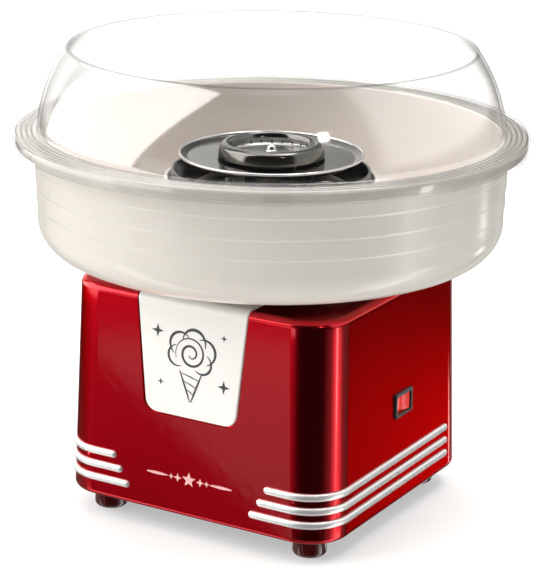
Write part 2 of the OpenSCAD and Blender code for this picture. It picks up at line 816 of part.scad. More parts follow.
// ---------- rim guard ----------
// The guard's wall is one arc, from the flange to the open top edge
wall_rise = guard_top_z - guard_foot_z;
wall_run = guard_foot_r - guard_mouth_r;
wall_chord = norm([wall_run, wall_rise]);
wall_bulge = 3.6;
wall_arc_r = (wall_chord * wall_chord / 4 + wall_bulge * wall_bulge) / (2 * wall_bulge);
wall_arc_x = (guard_foot_r + guard_mouth_r) / 2 - (wall_arc_r - wall_bulge) * wall_rise / wall_chord;
wall_arc_z = (guard_foot_z + guard_top_z) / 2 - (wall_arc_r - wall_bulge) * wall_run / wall_chord;
wall_steps = 20;
function wall_angle(z, r) = asin((z - wall_arc_z) / r);
function wall_arc(r, z0, z1) =
    let (a0 = wall_angle(z0, r), a1 = wall_angle(z1, r))
    [for (i = [0 : wall_steps]) let (a = a0 + (a1 - a0) * i / wall_steps)
        [wall_arc_x + r * cos(a), wall_arc_z + r * sin(a)]];

module rim_guard() {
    rib_h = 0.4;
    color([0.85, 0.90, 0.92, 0.35]) union() {
        rotate_extrude($fn = 180) polygon(concat(
            wall_arc(wall_arc_r, guard_foot_z, guard_top_z),
            wall_arc(wall_arc_r - guard_t, guard_top_z, flange_z),
            [[guard_r - skirt_t, flange_z], [guard_r - skirt_t, skirt_z],
                [guard_r, skirt_z], [guard_r, guard_foot_z]],
            [for (r = [145.5, 142.5, 139.5]) each [[r + 1.2, guard_foot_z],
                [r + 1.1, guard_foot_z + rib_h], [r + 0.1, guard_foot_z + rib_h], [r, guard_foot_z]]]));
        for (a = tab_angles) rotate([0, 0, a]) intersection() {
            tube(guard_r + 1, guard_r - skirt_t / 2, skirt_z - 1.4, guard_foot_z - 0.8);
            translate([guard_r - 6, -8, skirt_z - 2]) cube([10, 16, 12]);
        }
    }
}

module trim_bar_right_top() { trim_bar(0, 1); }
module trim_bar_right_middle() { trim_bar(1, 1); }
module trim_bar_right_bottom() { trim_bar(2, 1); }
module trim_bar_left_top() { trim_bar(0, -1); }
module trim_bar_left_middle() { trim_bar(1, -1); }
module trim_bar_left_bottom() { trim_bar(2, -1); }

base_shell();
front_panel();
trim_bar_right_top();
trim_bar_right_middle();
trim_bar_right_bottom();
trim_bar_left_top();
trim_bar_left_middle();
trim_bar_left_bottom();
bottom_cover();
foot_front_right();
foot_front_left();
foot_rear_right();
foot_rear_left();
foot_screws();
cover_screws();
switch_bezel();
switch_body();
switch_terminals();
cord_gland();
bowl_seat();
seat_screws();
heater_housing();
housing_screws();
heating_element();
element_insulators();
terminal_beads();
heat_shield();
shield_standoffs();
thermal_cutout();
thermal_fuse();
shaft_bush();
motor_can();
motor_end_cap();
motor_magnets();
motor_brushes();
motor_bracket();
motor_grommets();
bracket_screws();
motor_screws();
circuit_board();
board_components();
board_screws();
switch_leads();
motor_leads();
heater_leads();
motor_shaft();
motor_armature();
commutator();
cooling_fan();
shaft_collar();
drive_pin();
head_disc();
head_cup();
head_ring();
head_hub();
head_cap_nut();
head_spacers();
bowl();
rim_guard();
switch_rocker();
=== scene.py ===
"""Looks of the cotton candy machine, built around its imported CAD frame.

Lengths in the shape code are millimetres.
"""
import json
from math import acos, asin, cos, degrees, hypot, pi, radians, sin, sqrt, tan

import bmesh
import bpy
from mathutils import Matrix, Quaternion, Vector


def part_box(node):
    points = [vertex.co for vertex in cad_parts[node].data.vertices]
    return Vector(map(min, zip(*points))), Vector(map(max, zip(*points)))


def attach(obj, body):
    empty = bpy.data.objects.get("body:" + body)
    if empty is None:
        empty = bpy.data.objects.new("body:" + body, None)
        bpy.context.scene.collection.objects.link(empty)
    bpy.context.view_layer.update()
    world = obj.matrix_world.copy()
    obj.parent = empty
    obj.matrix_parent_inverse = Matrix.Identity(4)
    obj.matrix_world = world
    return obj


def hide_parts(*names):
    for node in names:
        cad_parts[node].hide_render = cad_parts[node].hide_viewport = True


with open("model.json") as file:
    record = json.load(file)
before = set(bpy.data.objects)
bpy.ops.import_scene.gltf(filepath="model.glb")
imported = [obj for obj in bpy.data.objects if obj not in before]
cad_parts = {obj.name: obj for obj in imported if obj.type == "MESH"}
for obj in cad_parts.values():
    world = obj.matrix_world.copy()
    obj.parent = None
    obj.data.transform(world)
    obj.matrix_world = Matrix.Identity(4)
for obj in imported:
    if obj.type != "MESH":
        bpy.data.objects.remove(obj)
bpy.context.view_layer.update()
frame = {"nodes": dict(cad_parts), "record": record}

MM = 0.001
scene = bpy.context.scene


# ---- sizes, from the frame
def node_box(node):
    """A CAD node's lowest and highest corner in millimetres."""
    low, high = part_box(node)
    return low / MM, high / MM


shell_low, shell_high = node_box("base_shell")
panel_low = node_box("front_panel")[0]
bezel_low, bezel_high = node_box("switch_bezel")
bezel_mid = (bezel_low + bezel_high) / 2
gland_low, gland_high = node_box("cord_gland")
gland_mid = (gland_low + gland_high) / 2
housing_high = node_box("heater_housing")[1]
seat_high = node_box("bowl_seat")[1]
bowl_low, bowl_high = node_box("bowl")
guard_high = node_box("rim_guard")[1]
disc_low, disc_high = node_box("head_disc")
ring_low, ring_high = node_box("head_ring")
cup_low, cup_high = node_box("head_cup")
nut_low, nut_high = node_box("head_cap_nut")

DECK_Z = shell_high.z
BASE_Z = shell_low.z
HALF_X_LOW = shell_high.x
HALF_Y_LOW = -shell_low.y
TAPER = 3.7  # how much narrower each side is at the deck than at the floor
CORNER_R = 24.5
EDGE_TOP = 4.5
EDGE_LOW = 3.5
WALL = 3.0
SWITCH_X = 88.6  # the flat that the switch's bezel stands on
GUARD_R = 150.0
GUARD_FOOT_R = 136.0
GUARD_MOUTH_R = 118.0
GUARD_T = 1.8
FLANGE_R = 138.5  # where the guard's ribbed flange starts
FLANGE_Z = 225.6
FLANGE_TOP = FLANGE_Z + 1.6
RIB_R = 140.2  # the innermost rib on the flange
RIB_STEP = 3.0  # from rib to rib
SKIRT_Z = 219.2


# ---- mesh helpers
def finish_mesh(name, verts, faces, sharp=35):
    """A mesh object from points in millimetres, smooth but for edges sharper than the given angle."""
    mesh = bpy.data.meshes.new(name)
    mesh.from_pydata([tuple(c * MM for c in v) for v in verts], [], faces)
    work = bmesh.new()
    work.from_mesh(mesh)
    bmesh.ops.remove_doubles(work, verts=work.verts, dist=1e-6)
    bmesh.ops.recalc_face_normals(work, faces=work.faces)
    work.to_mesh(mesh)
    work.free()
    mesh.shade_smooth()
    mesh.set_sharp_from_angle(angle=radians(sharp))
    obj = bpy.data.objects.new(name, mesh)
    scene.collection.objects.link(obj)
    return obj


def apply_modifiers(obj, sharp=35):
    """Replaces the object's mesh with its evaluated one, and clears the modifiers."""
    graph = bpy.context.evaluated_depsgraph_get()
    mesh = bpy.data.meshes.new_from_object(obj.evaluated_get(graph))
    obj.modifiers.clear()
    obj.data = mesh
    obj.data.shade_smooth()
    obj.data.set_sharp_from_angle(angle=radians(sharp))


def cut(obj, *cutters):
    """Takes the cutters' space out of obj, and deletes the cutters."""
    for cutter in cutters:
        m = obj.modifiers.new("cut", "BOOLEAN")
        m.operation = "DIFFERENCE"
        m.solver = "EXACT"
        m.object = cutter
    apply_modifiers(obj)
    for cutter in cutters:
        bpy.data.objects.remove(cutter)


def settle_normals(obj, flat_area=30.0):
    """Gives each corner that touches a large flat face that face's normal, so that flats stay flat."""
    mesh = obj.data
    smooth = [Vector(n.vector) for n in mesh.corner_normals]
    large = {}
    for face in mesh.polygons:
        area = face.area / MM / MM
        if area > flat_area:
            for v in face.vertices:
                large.setdefault(v, []).append((area, face.normal.copy()))
    normals = []
    for face in mesh.polygons:
        for corner, v in zip(face.loop_indices, face.vertices):
            chosen = smooth[corner]
            if face.area / MM / MM > flat_area:
                chosen = face.normal
            else:
                near = [(a, n) for a, n in large.get(v, ()) if n.dot(face.normal) > 0.85]
                if near:
                    chosen = max(near, key=lambda pair: pair[0])[1]
            normals.append(tuple(chosen))
    mesh.normals_split_custom_set(normals)


def bevel(obj, width, segments, angle):
    """Rounds the edges that are sharper than the given angle."""
    m = obj.modifiers.new("bevel", "BEVEL")
    m.width = width * MM
    m.segments = segments
    m.limit_method = "ANGLE"
    m.angle_limit = radians(angle)
    m.miter_outer = "MITER_ARC"
    m.harden_normals = False
    apply_modifiers(obj)


def rounded(points, steps=6):
    """A closed outline from (a, b, radius) corners: each corner with a radius becomes an arc."""
    out = []
    n = len(points)
    for i, (x, y, r) in enumerate(points):
        here = Vector((x, y))
        if r <= 0:
            out.append((x, y))
            continue
        to_prev = (Vector(points[i - 1][:2]) - here).normalized()
        to_next = (Vector(points[(i + 1) % n][:2]) - here).normalized()
        half = acos(max(-1.0, min(1.0, to_prev.dot(to_next)))) / 2
        reach = r / tan(half)
        centre = here + (to_prev + to_next).normalized() * (r / sin(half))
        a = here + to_prev * reach - centre
        b = here + to_next * reach - centre
        turn = a.angle_signed(b)
        for k in range(steps + 1):
            angle = -turn * k / steps
            c, s = cos(angle), sin(angle)
            out.append((centre.x + a.x * c - a.y * s, centre.y + a.x * s + a.y * c))
    return out


def sweep(cx, cy, r, start, end, steps, r_end=None):
    """Points of an arc between two angles in degrees; its radius may run from r to r_end."""
    r_end = r if r_end is None else r_end
    out = []
    for k in range(steps + 1):
        share = k / steps
        a = radians(start + (end - start) * share)
        reach = r + (r_end - r) * share
        out.append((cx + reach * cos(a), cy + reach * sin(a)))
    return out


def quarter(steps):
    """(pull, drop) pairs of a round edge with radius 1, from its side, (0, 1), to its top, (1, 0)."""
    angles = [radians(90 * k / steps) for k in range(steps + 1)]
    return [(1 - cos(a), 1 - sin(a)) for a in angles]


def lathe(name, profile, segments, sharp=35):
    """Turns a closed outline of (radius, height) points about the spin axis."""
    verts, faces = [], []
    n = len(profile)
    on_axis = [r < 1e-6 for r, _ in profile]
    for i in range(segments):
        a = 2 * pi * i / segments
        verts += [(r * cos(a), r * sin(a), z) for r, z in profile]
    for i in range(segments):
        j = (i + 1) % segments
        for k in range(n):
            m = (k + 1) % n
            if on_axis[k] and on_axis[m]:
                continue
            face = [i * n + k, j * n + k, j * n + m, i * n + m]
            if on_axis[k]:
                face.pop(0)
            elif on_axis[m]:
                face.pop(2)
            faces.append(face)
    return finish_mesh(name, verts, faces, sharp)


def reshape(obj, place):
    """Puts each point of a mesh where place(x, y, z) says, in millimetres."""
    for v in obj.data.vertices:
        v.co = Vector(place(*(v.co / MM))) * MM
    return obj


def at_inlet(obj):
    """Lays a lathed piece along Y, on the cord inlet's axis."""
    return reshape(obj, lambda x, y, z: (gland_mid.x + x, z, gland_mid.z - y))


def block(name, low, high):
    """A plain box between two corners."""
    verts = [(x, y, z) for x in (low[0], high[0]) for y in (low[1], high[1]) for z in (low[2], high[2])]
    faces = [(0, 1, 3, 2), (4, 6, 7, 5), (0, 4, 5, 1), (2, 3, 7, 6), (0, 2, 6, 4), (1, 5, 7, 3)]
    return finish_mesh(name, verts, faces)


def grid_faces(rows, n, around=True, closed_ends=True):
    """Faces between rows of n points, which may close into rings, and over the first and last ring."""
    last = (rows - 1) * n
    faces = [(i + k, i + (k + 1) % n, i + n + (k + 1) % n, i + n + k)
             for i in range(0, last, n) for k in range(n if around else n - 1)]
    if closed_ends:
        faces += [tuple(range(n - 1, -1, -1)), tuple(range(last, last + n))]
    return faces


def loft(name, rings, sharp=35, closed_ends=True):
    """Joins rings that have the same number of points."""
    verts = [p for ring in rings for p in ring]
    return finish_mesh(name, verts, grid_faces(len(rings), len(rings[0]), closed_ends=closed_ends), sharp)


# ---- the base's tapered form
def half_sizes(z):
    """Half width and half depth of the base's flat sides at a height."""
    share = (z - BASE_Z) / (DECK_Z - BASE_Z)
    return HALF_X_LOW - TAPER * share, HALF_Y_LOW - TAPER * share


def perimeter(hx, hy, r, z, corner_steps=20, side_steps=12):
    """A ring round a rectangle with round corners, with points along its straight sides too."""
    corners = []
    for sx, sy, first in ((1, 1, 0), (-1, 1, 90), (-1, -1, 180), (1, -1, 270)):
        corner = sweep(sx * (hx - r), sy * (hy - r), r, first, first + 90, corner_steps)
        corners.append([Vector((x, y, z)) for x, y in corner])
    ring = []
    for i, corner in enumerate(corners):
        following = corners[(i + 1) % 4][0]
        ring += corner + [corner[-1].lerp(following, k / side_steps) for k in range(1, side_steps)]
    return ring


def closing(ring):
    """Rings that draw in from the given one towards the spin axis, at its own height."""
    shares = (0.85, 0.7, 0.55, 0.4, 0.2, 0.02)
    return [[Vector((p.x * share, p.y * share, p.z)) for p in ring] for share in shares]


def base_form(name, inset, z_low, z_high, edge_low, edge_top, edge_steps=8, side_steps=12):
    """A solid of the base's tapered form, inset by some distance, with rounded top and bottom edges."""
    side_low, side_high = z_low + edge_low, z_high - edge_top

    def level(z, pull, z_side):
        hx, hy = half_sizes(z_side)
        return perimeter(hx - pull, hy - pull, CORNER_R - pull, z)

    rings = []
    for pull, drop in quarter(edge_steps):
        z = z_low + edge_low * drop
        rings.append(level(z, inset + edge_low * pull, z))
    rings += closing(rings[-1])
    rings.reverse()
    for k in range(1, side_steps):
        z = side_low + (side_high - side_low) * k / side_steps
        rings.append(level(z, inset, z))
    for pull, drop in quarter(edge_steps):
        z = z_high - edge_top * drop
        rings.append(level(z, inset + edge_top * pull, min(z, side_high)))
    rings += closing(rings[-1])
    return loft(name, rings)


# ---- case
PANEL_HALF_TOP = 36.4
PANEL_HALF_LOW = 30.6
PANEL_TOP_Z = DECK_Z - 2  # above this height the panel's sides are upright
PANEL_CORNER = 8.0
PANEL_GAP = 0.7
PANEL_DEPTH = 2.0
PANEL_BACK_Y = -68.0


def panel_half(z):
    """Half width of the panel's outline at a height on the front."""
    straight = panel_low.z + PANEL_CORNER
    if z >= straight:
        share = min(1.0, (z - straight) / (PANEL_TOP_Z - straight))
        return PANEL_HALF_LOW + (PANEL_HALF_TOP - PANEL_HALF_LOW) * share
    drop = min(PANEL_CORNER, straight - z)
    return PANEL_HALF_LOW - PANEL_CORNER + sqrt(PANEL_CORNER * PANEL_CORNER - drop * drop)


def panel_cutter():
    """The space that the panel sits in: its outline pushed back, outside the form that the panel lies on."""
    low, above = panel_low.z - PANEL_GAP, DECK_Z + 6
    half, top = PANEL_HALF_LOW + PANEL_GAP, PANEL_HALF_TOP + PANEL_GAP
    r = PANEL_CORNER + PANEL_GAP
    outline = rounded([(-half, low, r), (half, low, r), (top, PANEL_TOP_Z, 0), (top, above, 0),
                       (-top, above, 0), (-top, PANEL_TOP_Z, 0)], 14)
    in_front_y = -100.0
    rings = [[(x, y, z) for x, z in outline] for y in (in_front_y, PANEL_BACK_Y + PANEL_GAP)]
    prism = loft("panel_space", rings)
    top_edge = EDGE_TOP - PANEL_DEPTH * 0.7
    cut(prism, base_form("panel_floor", PANEL_DEPTH, BASE_Z, DECK_Z - PANEL_DEPTH, 1.0, top_edge))
    return prism


BAR_CENTRES = (41.7, 33.5, 25.3)  # heights of the top, middle and bottom bar
BAR_STARTS = (50.0, 45.5, 40.5)  # their front ends' distances from the middle
BAR_END_Y = 60.0
BAR_H = 4.4
BAR_RELIEF = 1.7
BAR_SEAT = 0.6
GROOVE_GAP = 0.25
GROOVE_OUT = 4.0  # how far the groove's cutter stands out of the case


def bar_path(index, side):
    """Points and outward directions along a bar, from its front end round the corner to its side end."""
    z = BAR_CENTRES[index]
    hx, hy = half_sizes(z)
    x_corner, y_corner = hx - CORNER_R, hy - CORNER_R
    start = BAR_STARTS[index]
    front = x_corner - start
    arc = CORNER_R * pi / 2
    back = BAR_END_Y + y_corner
    total = front + arc + back
    ends = [BAR_H / 2 * (1 - cos(radians(a))) for a in range(0, 91, 9)]
    stops = ends + [front * k / 3 for k in (1, 2)] + [front + arc * k / 24 for k in range(25)]
    stops += [front + arc + back * k / 8 for k in range(1, 8)] + [total - e for e in reversed(ends)]
    rows = []
    for s in sorted({round(v, 4) for v in stops}):
        if s <= front:
            point, out = (start + s, -hy), (0.0, -1.0)
        elif s <= front + arc:
            a = -pi / 2 + (s - front) / CORNER_R
            out = (cos(a), sin(a))
            point = (x_corner + CORNER_R * out[0], -y_corner + CORNER_R * out[1])
        else:
            point, out = (hx, -y_corner + s - front - arc), (1.0, 0.0)
        near = min(s, total - s)
        half = BAR_H / 2
        share = sqrt(max(0.0, 1 - (1 - near / half) ** 2)) if near < half else 1.0
        rows.append(((side * point[0], point[1]), (side * out[0], out[1]), share, z))
    return rows


def bar_solid(name, index, side, dome, grow=0.0):
    """A trim bar, domed, or the plain groove that it sits in."""
    rings = []
    half = BAR_H / 2 + grow
    for (x, y), (ox, oy), share, z in bar_path(index, side):
        share = max(share, 0.02)
        if dome:
            profile = [(-BAR_SEAT, -half * share)]
            for k in range(13):
                a = radians(-90 + 180 * k / 12)
                lift = BAR_RELIEF * (0.25 + 0.75 * share)
                profile.append((lift * cos(a) ** 0.7, half * share * sin(a)))
            profile.append((-BAR_SEAT, half * share))
        else:
            reach = half * min(1.0, share + 0.05)
            profile = [(-BAR_SEAT, -reach), (GROOVE_OUT, -reach), (GROOVE_OUT, reach), (-BAR_SEAT, reach)]
        rings.append([(x + ox * u, y + oy * u, z + w) for u, w in profile])
    return loft(name, rings, sharp=50)


DECK_HOLE_R = 48.0
BEZEL_GAP = 0.25
SWITCH_HOLE = Vector((0, 9.5, 6.6))  # half sizes of the hole behind the bezel
INLET_R = 6.05
INLET_FLANGE_R = 8.3
INLET_STEP_Y = 87.2  # where the cord gland's flange starts
THICK_LOW = (-46, -95, 64)  # corners of the space behind the panel where the wall is thick
THICK_HIGH = (46, -79.5, DECK_Z + 5)
WITHIN = 70  # how far out the cutters of the side and back openings start, inside the case
BEYOND = 99  # and how far out they end, past its walls


def case_shell():
    """The painted case, with its panel recess, bar grooves, switch opening and inlet."""
    shell = base_form("case_shell", 0.0, BASE_Z, DECK_Z, EDGE_LOW, EDGE_TOP)
    inner = base_form("inside", WALL, BASE_Z - 8, DECK_Z - WALL, 1.0, EDGE_TOP - WALL * 0.7)
    cut(inner, block("thick", THICK_LOW, THICK_HIGH))
    cut(shell, inner)
    under, over = DECK_Z - 12, DECK_Z + 12
    opening = lathe("opening", [(0, under), (DECK_HOLE_R, under), (DECK_HOLE_R, over), (0, over)], 96)
    gap = Vector((0, BEZEL_GAP, BEZEL_GAP))
    seat_low, seat_far = bezel_low - gap, bezel_high + gap
    seat_low.x, seat_far.x = SWITCH_X, BEYOND
    hole_low, hole_far = bezel_mid - SWITCH_HOLE, bezel_mid + SWITCH_HOLE
    hole_low.x, hole_far.x = WITHIN, BEYOND
    cutters = [panel_cutter(), opening, block("flat", seat_low, seat_far), block("hole", hole_low, hole_far)]
    cutters += [bar_solid("groove", i, side, False, GROOVE_GAP) for side in (1, -1) for i in range(3)]
    inlet = [(0, WITHIN), (INLET_R, WITHIN), (INLET_R, INLET_STEP_Y), (INLET_FLANGE_R, INLET_STEP_Y),
             (INLET_FLANGE_R, BEYOND), (0, BEYOND)]
    cutters.append(at_inlet(lathe("inlet", inlet, 48)))
    for cutter in cutters:
        cut(shell, cutter)
    split_seat(shell)
    bevel(shell, 0.35, 2, 50)
    settle_normals(shell)
    return shell


def split_seat(shell):
    """Splits up the flat round the switch opening, so that no face spans the opening."""
    work = bmesh.new()
    work.from_mesh(shell.data)
    flat = [f for f in work.faces
            if f.normal.x > 0.999 and abs(f.calc_center_median().x / MM - SWITCH_X) < 0.05]
    bmesh.ops.triangulate(work, faces=flat)
    work.to_mesh(shell.data)
    work.free()


def front_surface(t):
    """A point and an outward direction on the case's front, over its top edge and back along the deck.

    t is the distance up from the panel's low edge.
    """
    z_edge = DECK_Z - EDGE_TOP
    hy_edge = half_sizes(z_edge)[1]
    slope = TAPER / (DECK_Z - BASE_Z)
    rise = z_edge - panel_low.z
    if t <= rise:
        z = panel_low.z + t
        return Vector((-(hy_edge + (z_edge - z) * slope), z)), Vector((-1, slope)).normalized()
    arc = EDGE_TOP * pi / 2
    if t <= rise + arc:
        a = (t - rise) / EDGE_TOP
        out = Vector((-cos(a), sin(a)))
        return Vector((-(hy_edge - EDGE_TOP), z_edge)) + EDGE_TOP * out, out
    return Vector((-(hy_edge - EDGE_TOP) + t - rise - arc, DECK_Z)), Vector((0, 1))


def case_point(x, t, lift):
    """A point on the case's front or deck, t up from the panel's low edge, lifted off the surface."""
    point, out = front_surface(t)
    return (x, point.x + out.x * lift, point.y + out.y * lift)


def badge_panel():
    """The cream panel: a crowned sheet with rounded edges that turns over the case's top edge."""
    edge, lift = 0.9, 0.3
    depth = PANEL_DEPTH - 0.05
    total = DECK_Z - EDGE_TOP - panel_low.z + EDGE_TOP * pi / 2
    total += (half_sizes(DECK_Z)[1] - EDGE_TOP) + PANEL_BACK_Y
    near = [0, 0.06, 0.15, 0.3, 0.5, 0.75, 1.1, 1.6, 2.3, 3.2, 4.3, 5.6, 7, 8]
    stops = near + [8 + (total - 8) * k / 60 for k in range(1, 61)]
    across = [0, 0.0007, 0.002, 0.004, 0.007, 0.011, 0.016, 0.025, 0.05, 0.1, 0.2, 0.35, 0.5]
    across += [1 - a for a in reversed(across[:-1])]
    corner_x = PANEL_HALF_LOW - PANEL_CORNER
    rows = []
    for t in stops:
        half = panel_half(panel_low.z + min(t, DECK_Z - panel_low.z))
        row = [case_point(-half, t, -depth)]
        for share in across:
            x = (2 * share - 1) * half
            inward = half - abs(x)
            if t < PANEL_CORNER and abs(x) > corner_x:
                inward = PANEL_CORNER - hypot(abs(x) - corner_x, PANEL_CORNER - t)
            inward = max(0.0, min(inward, t, edge))
            row.append(case_point(x, t, lift - edge + sqrt(edge * edge - (edge - inward) ** 2)))
        rows.append(row + [case_point(half, t, -depth)])
    low = [case_point(x, 0, -depth) for x, _, _ in rows[0]]
    high = [case_point(x, total, -depth) for x, _, _ in rows[-1]]
    rows = [low] + rows + [high]
    verts = [p for row in rows for p in row]
    return finish_mesh("badge_panel", verts, grid_faces(len(rows), len(rows[0]), False, False), 60)


# ---- ink on the case's front
INK_T = 0.12


def on_front(x, z, lift):
    """A point on the case's front face at a height, lifted off it."""
    return case_point(x, z - panel_low.z, lift)


def ribbon(points, widths, lift):
    """The verts and faces of a flat stroke along (x, z) points on the front, with a width at each point."""
    verts = []
    for i, (x, z) in enumerate(points):
        a = Vector(points[max(0, i - 1)])
        b = Vector(points[min(len(points) - 1, i + 1)])
        along = (b - a).normalized()
        side = Vector((-along.y, along.x)) * widths[i] / 2
        for off, up in ((side, lift), (-side, lift), (-side, lift - INK_T), (side, lift - INK_T)):
            verts.append(on_front(x + off.x, z + off.y, up))
    return verts, grid_faces(len(points), 4)


def stroke(points, width, lift, tip=0.25):
    """A ribbon that swells in its middle, like a brush stroke."""
    n = len(points) - 1
    widths = [width * (tip + (1 - tip) * sin(pi * i / n)) for i in range(n + 1)]
    return ribbon(points, widths, lift)


def joined(name, parts):
    """One mesh from several (verts, faces) parts."""
    verts, faces = [], []
    for v, f in parts:
        base = len(verts)
        verts += v
        faces += [tuple(i + base for i in face) for face in f]
    return finish_mesh(name, verts, faces, 40)


def star(cx, cz, r, lift, points=4, waist=0.32):
    """The verts and faces of a flat star on the front."""
    outline = []
    for k in range(points * 2):
        a = radians(90 + 180 * k / points)
        reach = r if k % 2 == 0 else r * waist
        outline.append((cx + reach * cos(a), cz + reach * sin(a)))
    verts = [on_front(x, z, up) for up in (lift, lift - INK_T) for x, z in outline]
    return verts, grid_faces(2, len(outline))


def badge_motif():
    """A floss puff on a paper cone with four small stars round it: plain line work in dark grey."""
    lift = 0.36
    puff_z = 112.0
    parts = [stroke(sweep(0.0, puff_z, 1.5, 200, 920, 70, 10.5), 1.5, lift)]
    for a, r, width in ((20, 7.4, 1.7), (78, 7.6, 1.9), (138, 7.2, 1.7), (196, 6.2, 1.5), (-38, 6.2, 1.5)):
        x = 9.2 * cos(radians(a))
        z = puff_z + 7.2 * sin(radians(a))
        parts.append(stroke(sweep(x, z, r, a - 96, a + 96, 28), width, lift))
    for side in (-1, 1):
        edge = [(side * x, z) for x, z in ((7.4, 101.5), (5.0, 95.5), (2.6, 89.5), (0.3, 83.6))]
        parts.append(stroke(edge, 1.3, lift, 0.5))
    for k in range(3):
        z = 99.0 - 4.6 * k
        half = 6.2 - 1.85 * k
        parts.append(stroke([(-half, z + 1.0), (0.0, z - 0.4), (half, z - 2.2)], 0.8, lift, 0.5))
    for x, z, r in ((-22.5, 122.5, 4.2), (22.0, 96.5, 4.2), (21.5, 125.0, 2.2), (-20.0, 92.5, 2.2)):
        parts.append(star(x, z, r, lift))
    return joined("badge_motif", parts)


def case_ornament():
    """A row of five stars between two thin lines, below the panel."""
    lift = 0.06
    z = 36.6
    parts = [star(0, z, 4.6, lift, 5, 0.44)]
    for side in (-1, 1):
        parts.append(stroke([(side * (14.5 + 14.3 * k / 12), z) for k in range(13)], 1.7, lift, 0.35))
        parts += [star(side * x, z, r, lift, 4, 0.40) for x, r in ((7.6, 2.6), (12.0, 1.9))]
    return joined("case_ornament", parts)


# ---- switch
BEZEL_BACK_X = 79.0


def bezel_frame():
    """The switch's bezel: a rounded rectangular frame that stands out along +X."""
    half = (bezel_high - bezel_low) / 2
    hole = Vector((0, 8.4, 5.4))
    front, outer_round, inner_round = bezel_high.x, 0.8, 0.4

    def ring(half, grow, r, x):
        hy, hz = half.y + grow, half.z + grow
        outline = rounded([(hy, hz, r), (-hy, hz, r), (-hy, -hz, r), (hy, -hz, r)], 5)
        return [(x, bezel_mid.y + y, bezel_mid.z + z) for y, z in outline]

    rings = [ring(half, 0.0, 1.2, SWITCH_X)]
    rings += [ring(half, -outer_round * pull, 1.2, front - outer_round * drop) for pull, drop in quarter(4)]
    rings += [ring(hole, inner_round * pull, 0.6, front - inner_round * drop - 0.1)
              for pull, drop in reversed(quarter(4))]
    rings.append(ring(hole, 0.0, 0.5, BEZEL_BACK_X))
    return loft("bezel_frame", rings, 40, closed_ends=False)


ROCKER_X = 84.6
ROCKER_FACE = 3.6
ROCKER_LEAN = 9.0  # how far each half of the face leans out, and the angle it rests at
ROCKER_HALF_Y = 7.6
ROCKER_HALF_Z = 5.1


def rocker_lens():
    """The red rocker: a shallow V in plan with soft edges, resting on one side."""
    end = ROCKER_FACE + ROCKER_HALF_Y * tan(radians(ROCKER_LEAN))
    fold = ROCKER_FACE + 0.02
    flat = rounded([(-3.0, -7.2, 0.4), (end, -ROCKER_HALF_Y, 0.9), (fold, -0.35, 0), (fold - 0.24, 0, 0),
                    (fold, 0.35, 0), (end, ROCKER_HALF_Y, 0.9), (-3.0, 7.2, 0.4)], 5)
    tilt = radians(-ROCKER_LEAN)
    low, high, soft = bezel_mid.z - ROCKER_HALF_Z, bezel_mid.z + ROCKER_HALF_Z, 0.5
    levels = [(low, 0.35), (low + soft * 0.3, 0.1), (low + soft, 0.0)]
    levels += [(low + soft + (high - low - 2 * soft) * k / 6, 0.0) for k in range(1, 6)]
    levels += [(high - soft, 0.0), (high - soft * 0.3, 0.1), (high, 0.35)]
    rings = []
    for z, pull in levels:
        ring = []
        for x, y in flat:
            x -= pull * (1 if x > 0 else 0)
            y *= 1 - pull / ROCKER_HALF_Y
            ring.append((ROCKER_X + x * cos(tilt) - y * sin(tilt),
                         bezel_mid.y + x * sin(tilt) + y * cos(tilt), z))
        rings.append(ring)
    return loft("rocker_lens", rings, 40)


# ---- bowl
BOWL_WALL_R = 136.0
BOWL_T = 2.4
BOWL_FLOOR_Z = bowl_low.z
BOWL_ROUND = 20.0
LIP_R = 148.0
LIP_LOW_Z = 219.8
COLLAR_R = 60.3
COLLAR_T = 2.4
COLLAR_TOP = 198.0
STEPS = (185.2, 196.5, 208.3)  # heights at which the wall steps out
STEP_IN = 0.5
STEP_H = 1.8


def bowl_profile():
    """Outline of the bowl: rounded bottom, stepped wall, rolled lip and centre collar."""
    top, neck = bowl_high.z, bowl_high.z - 2.4
    floor_r, round_z = BOWL_WALL_R - BOWL_ROUND, BOWL_FLOOR_Z + BOWL_ROUND
    inner_foot = [(COLLAR_R, round_z, 0), (COLLAR_R, BOWL_FLOOR_Z, 0.5), (COLLAR_R + 12, BOWL_FLOOR_Z, 0)]
    out = rounded(inner_foot, 4)[1:-1]
    out += sweep(floor_r, round_z, BOWL_ROUND, -90, 0, 24)
    r = BOWL_WALL_R
    for z in STEPS:
        low = z - STEP_H / 2
        out.append((r, low))
        for k in range(1, 6):
            share = (1 - cos(radians(180 * k / 5))) / 2
            out.append((r + STEP_IN * share, low + STEP_H * k / 5))
        r += STEP_IN
    inner_r, lip_in = BOWL_WALL_R - BOWL_T, LIP_R - 2.0
    lip = [(r, top - 8.0, 0), (r, neck, 1.0), (lip_in, neck, 0.6), (lip_in, LIP_LOW_Z, 0.8),
           (LIP_R, LIP_LOW_Z, 0.8), (LIP_R, top, 1.4), (inner_r, top, 1.0), (inner_r, top - 30, 0)]
    out += rounded(lip, 5)[1:-1]
    out += sweep(floor_r, round_z, BOWL_ROUND - BOWL_T, 0, -90, 24)
    foot_r, fillet = COLLAR_R + COLLAR_T, 9.0
    out += sweep(foot_r + fillet, BOWL_FLOOR_Z + BOWL_T + fillet, fillet, -90, -180, 8)
    out += rounded([(foot_r, round_z, 0), (foot_r, COLLAR_TOP, 1.1), (COLLAR_R, COLLAR_TOP, 1.1),
                    (COLLAR_R, round_z, 0)], 5)[1:-1]
    return out


def face_places(obj):
    """Each face of a turned piece, with its distance from the spin axis and its height."""
    for face in obj.data.polygons:
        centre = face.center / MM
        yield face, hypot(centre.x, centre.y), centre.z


